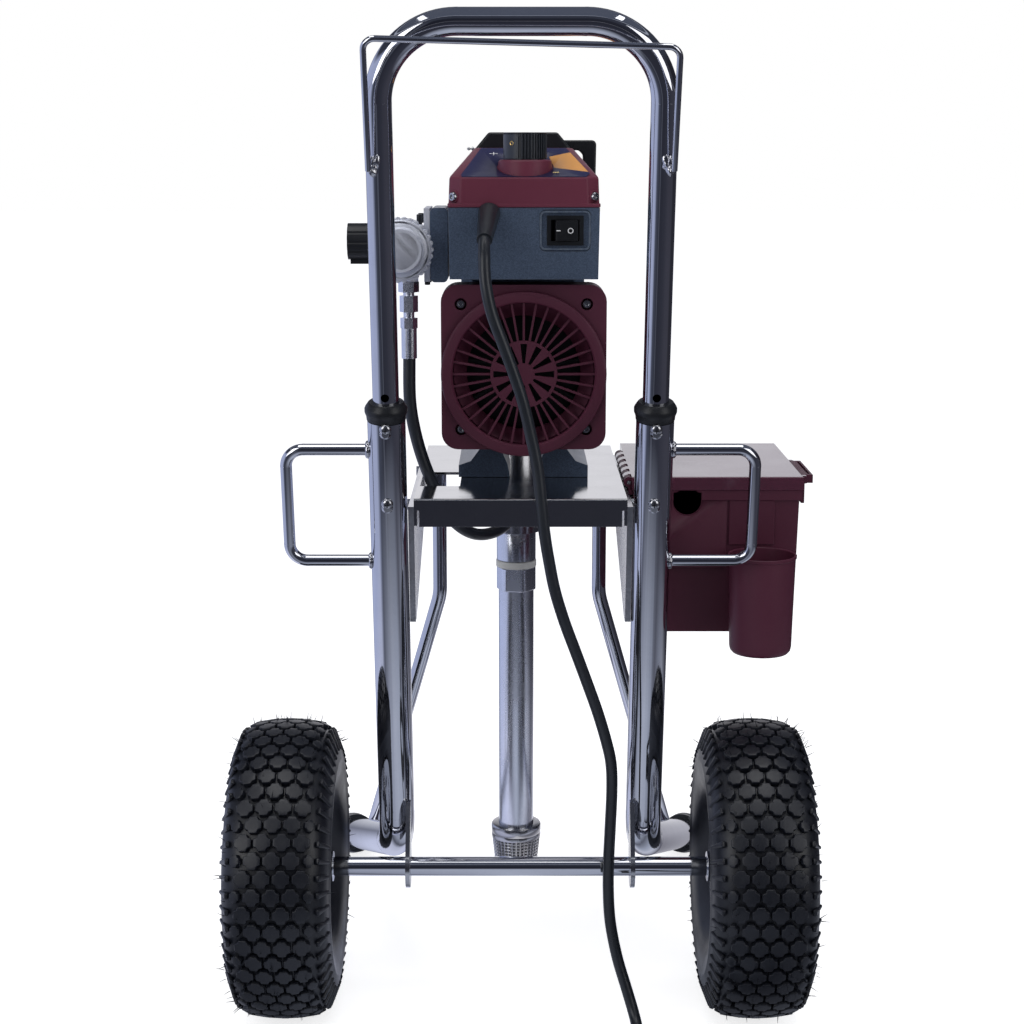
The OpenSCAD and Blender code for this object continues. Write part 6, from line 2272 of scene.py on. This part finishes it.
    def collars(self) -> None:
        """Turns the rubber collars with their rounded lips."""
        lean = Vector((0, -math.tan(LEAN), 1)).normalized()
        made = []
        for side in SIDES:
            foot = lean_at(side * self.upright, self.collar_z)
            made.append(Bench.lathe("collar", self.collar, foot, lean, 48, closed=True))
        self.stand_in("handle_collars", *made)

    def heads(self) -> None:
        """Caps the screws of the uprights with domed heads and marks their cross slots with thin black rods, painted
        shade in the slots.
        """
        made, slots = [], []
        lean = Vector((0, -math.cos(LEAN), -math.sin(LEAN)))
        across = Vector((0, -math.tan(LEAN), 1)).normalized()
        for side in SIDES:
            for z in self.screw_z:
                spot = lean_at(side * self.upright, z, -16.6 / math.cos(LEAN))
                made.append(Bench.lathe("head", self.dome, spot, lean, 24))
                top = spot + lean * 2.75
                for way in (across, Vector((1, 0, 0))):
                    slots.append(Bench.rod("slot", top - way * 2.1, top + way * 2.1, 0.62, 6, 0))
        self.beside("frame_bolts", "screw_heads", *made, finish="machined_steel")
        # The black rods paint the shade in the screws' cross slots.
        self.beside("frame_bolts", "screw_slots", *slots, finish="black_plastic")

    def build(self) -> None:
        """Dresses the cart's frame."""
        self.heads()
        self.braces()
        self.hook()
        self.grabs()
        self.collars()


@dataclass
class PumpSet(Assembly):
    """The pump's cylinder, coupling, suction tube and strainer."""

    spot: tuple[float, float] = (-3.0, 284.0)
    hoops: int = 8
    hoop_low: float = 29.2
    hoop_step: float = 3.4
    basket_r: float = 21.6
    basket_grows: float = 3.0
    wire_d: float = 1.6
    wires: int = 36
    seal: Outline = ((16, 346), (20.0, 346), (20.6, 346.6), (20.6, 352.4), (20, 353), (16, 353))
    tube: Outline = ((13.6, 62), (17.2, 62), (18.0, 62.8), (18.0, 322), (15.8, 322), (15.8, 383))
    upper: Outline = ((15.8, 353.3), (19.4, 353.3), (20, 353.9), (20, 382.6), (19.4, 383.6), (15.8, 383.7))
    collar: Outline = ((18.2, 54.6), (24.6, 54.6), (25.6, 55.6), (25.8, 58.0), (25.2, 60.0), (25.9, 62.0),
                       (25.9, 68.2), (25.0, 69.6), (23.0, 70.0), (18.2, 70.0))
    floor: Outline = ((0.01, 28.4), (21.6, 28.4), (22.4, 29.2), (21.6, 30.0), (0.01, 30.0))
    core: Outline = ((20.2, 30), (23.0, 55))
    nut_low: float = 322.0
    nut_high: float = 345.7

    def turn(self, name: str, profile: Outline, steps: int = 64) -> Piece:
        """Turns a piece on the pump's upright axis, its heights above the floor."""
        return Bench.lathe(name, profile, (*self.spot, 0), Axis.Z.vector, steps)

    def build(self) -> None:
        """Builds the pump set."""
        self.shop.refine("pump_cylinder", 0.9, "machined_steel")
        self.stand_in("intake_seal", self.turn("seal", self.seal))
        tube, upper = self.turn("tube", self.tube), self.turn("upper", self.upper)
        rim = [(radius, math.radians(a)) for a in range(0, 360, 4)
               for radius in (min(18.4 / math.cos(math.radians((a + 8) % 60 - 30)), 20.0),)]
        nut = Bench.plate("nut", [(self.spot[0] + r * math.cos(a), self.spot[1] + r * math.sin(a)) for r, a in rim],
                          self.nut_low, self.nut_high, Axis.Z, 0)
        Bench.soften(nut, 0.7, 2, 40)
        self.stand_in("suction_tube", tube, upper, nut, finish="brushed_steel")
        self.stand_in("suction_strainer", self.turn("collar", self.collar), *self.basket(), finish="machined_steel")

    def basket(self) -> list[Piece]:
        """Weaves the strainer's basket out of wire.

        Returns:
            The hoops and wires.
        """
        made = []
        for k in range(self.hoops):
            z = self.hoop_low + k * self.hoop_step
            r = self.basket_r + self.basket_grows * k / self.hoops
            Bench.clear()
            bpy.ops.mesh.primitive_torus_add(major_segments=48, minor_segments=5, major_radius=r * MM,
                                             minor_radius=self.wire_d / 2 * MM, location=at(*self.spot, z))
            made.append(Bench.settle(bpy.context.object, "hoop"))
        wire = Bench.rod("wire", Vector((self.spot[0] + 21.3, self.spot[1], 28.6)),
                         Vector((self.spot[0] + 24.4, self.spot[1], 56)), self.wire_d / 2, 5, 0)
        made += Bench.repeat(wire, [spin_about((*self.spot, 0), Axis.Z, k * 360 / self.wires)
                                    for k in range(self.wires)])
        return made + [self.turn("floor", self.floor, 48), self.turn("core", self.core, 32)]


@dataclass
class ToolBox(Assembly):
    """The moulded box with its cup."""

    column: tuple[Point, Point] = ((186.4, 47.0, 418.0), (227.4, 50.2, 458.6))
    panel: tuple[Point, Point] = ((104.0, 47.4, 397.0), (184.6, 50.6, 458.6))
    notch: tuple[float, float] = (149.0, 457.5)
    notch_r: float = 13.4
    rim: tuple[Point, Point] = ((251.0, 40.0, 450.0), (260.0, 245.0, 475.0))
    catch: tuple[Point, Point] = ((250.6, 100.0, 459.0), (254.6, 120.0, 463.0))
    lid_round: float = 1.2
    cup_r: float = 30.3
    long_edge: float = 60.0

    def panels(self) -> None:
        """Adds the raised column and panel on the front wall of the box."""
        column = Bench.slab("column", *self.column, 0.9, 3)
        panel = Bench.slab("panel", *self.panel, 0.7, 3)
        x, r = self.notch[0], self.notch_r
        notch = Bench.plate("notch", arc(self.notch, r, 180, 360, 24) + [(x + r, 470), (x - r, 470)], 40, 60, bevel=0)
        Bench.cut(panel, notch)
        self.beside("toolbox_body", "box_panels", column, panel)

    def shell(self) -> None:
        """Rounds the box, with its small catch set on as a block."""
        box = self.plain_copy("toolbox_body")
        Bench.cut(box, Bench.slab("clear", *self.rim, 0))
        Bench.soften(box, 0.8, 2)
        self.stand_in("toolbox_body", box)
        self.beside("toolbox_body", "box_catch", Bench.slab("catch", *self.catch, 0.6))

    def lid(self) -> None:
        """Rounds the lid along the long edges of its top."""
        lid = self.plain_copy("toolbox_lid", "maroon_gloss")
        weights = lid.data.attributes.new("bevel_weight_edge", "FLOAT", "EDGE")
        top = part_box("toolbox_lid")[1][2] - 0.1 * MM
        for edge in lid.data.edges:
            a, b = (lid.data.vertices[i].co for i in edge.vertices)
            weights.data[edge.index].value = float(a.z > top and b.z > top and (a - b).length > self.long_edge * MM)
        Bench.modify(lid, "BEVEL", width=self.lid_round * MM, segments=3, limit_method="WEIGHT", material=1)
        Bench.soften(lid, 0)
        Bench.modify(lid, "WEIGHTED_NORMAL", keep_sharp=True)
        self.stand_in("toolbox_lid", lid)

    def cup(self) -> None:
        """Turns the cup with its rounded foot and rim."""
        low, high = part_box("cup_holder")
        x = ((Vector(low) + Vector(high)) / 2 / MM + ORIGIN).x
        y = self.near_side("cup_holder") + self.cup_r
        z, top = Vector(low).z / MM, Vector(high).z / MM
        cup = Bench.lathe("cup", [(0.01, z), (21.5, z), (24.6, z + 0.8), (26.6, z + 3.0), (27.4, z + 6.5),
                                  (29.2, top - 3.4), (30.2, top - 2.6), (30.3, top - 0.4), (29.8, top), (28.6, top),
                                  (27.9, top - 0.6), (25.6, z + 6), (23, z + 3), (0.01, z + 2.4)],
                          (x, y, 0), Axis.Z.vector, 72)
        self.stand_in("cup_holder", cup)

    def build(self) -> None:
        """Builds the box, its lid and its cup."""
        self.shell()
        self.lid()
        self.panels()
        self.cup()


ASSEMBLIES: tuple[type, ...] = (Castings, FanGuard, ControlHead, DriveHead, FluidSide, CartFrame, PumpSet, ToolBox)


def main() -> None:
    """Builds the whole scene."""
    logging.basicConfig(level=logging.INFO, format="%(name)s: %(message)s")
    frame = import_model()
    shop = Shop(frame, Finishes())
    shop.dress_nodes()
    Studio(shop.finishes).build()
    Cords(shop).build()
    for side in SIDES:
        Tyre(shop, side).build()
    for assembly in ASSEMBLIES:
        assembly(shop).build()
    Bench.clear()
    LOG.info("%d pieces fitted", len(shop.made))


if __name__ == "__main__":
    main()
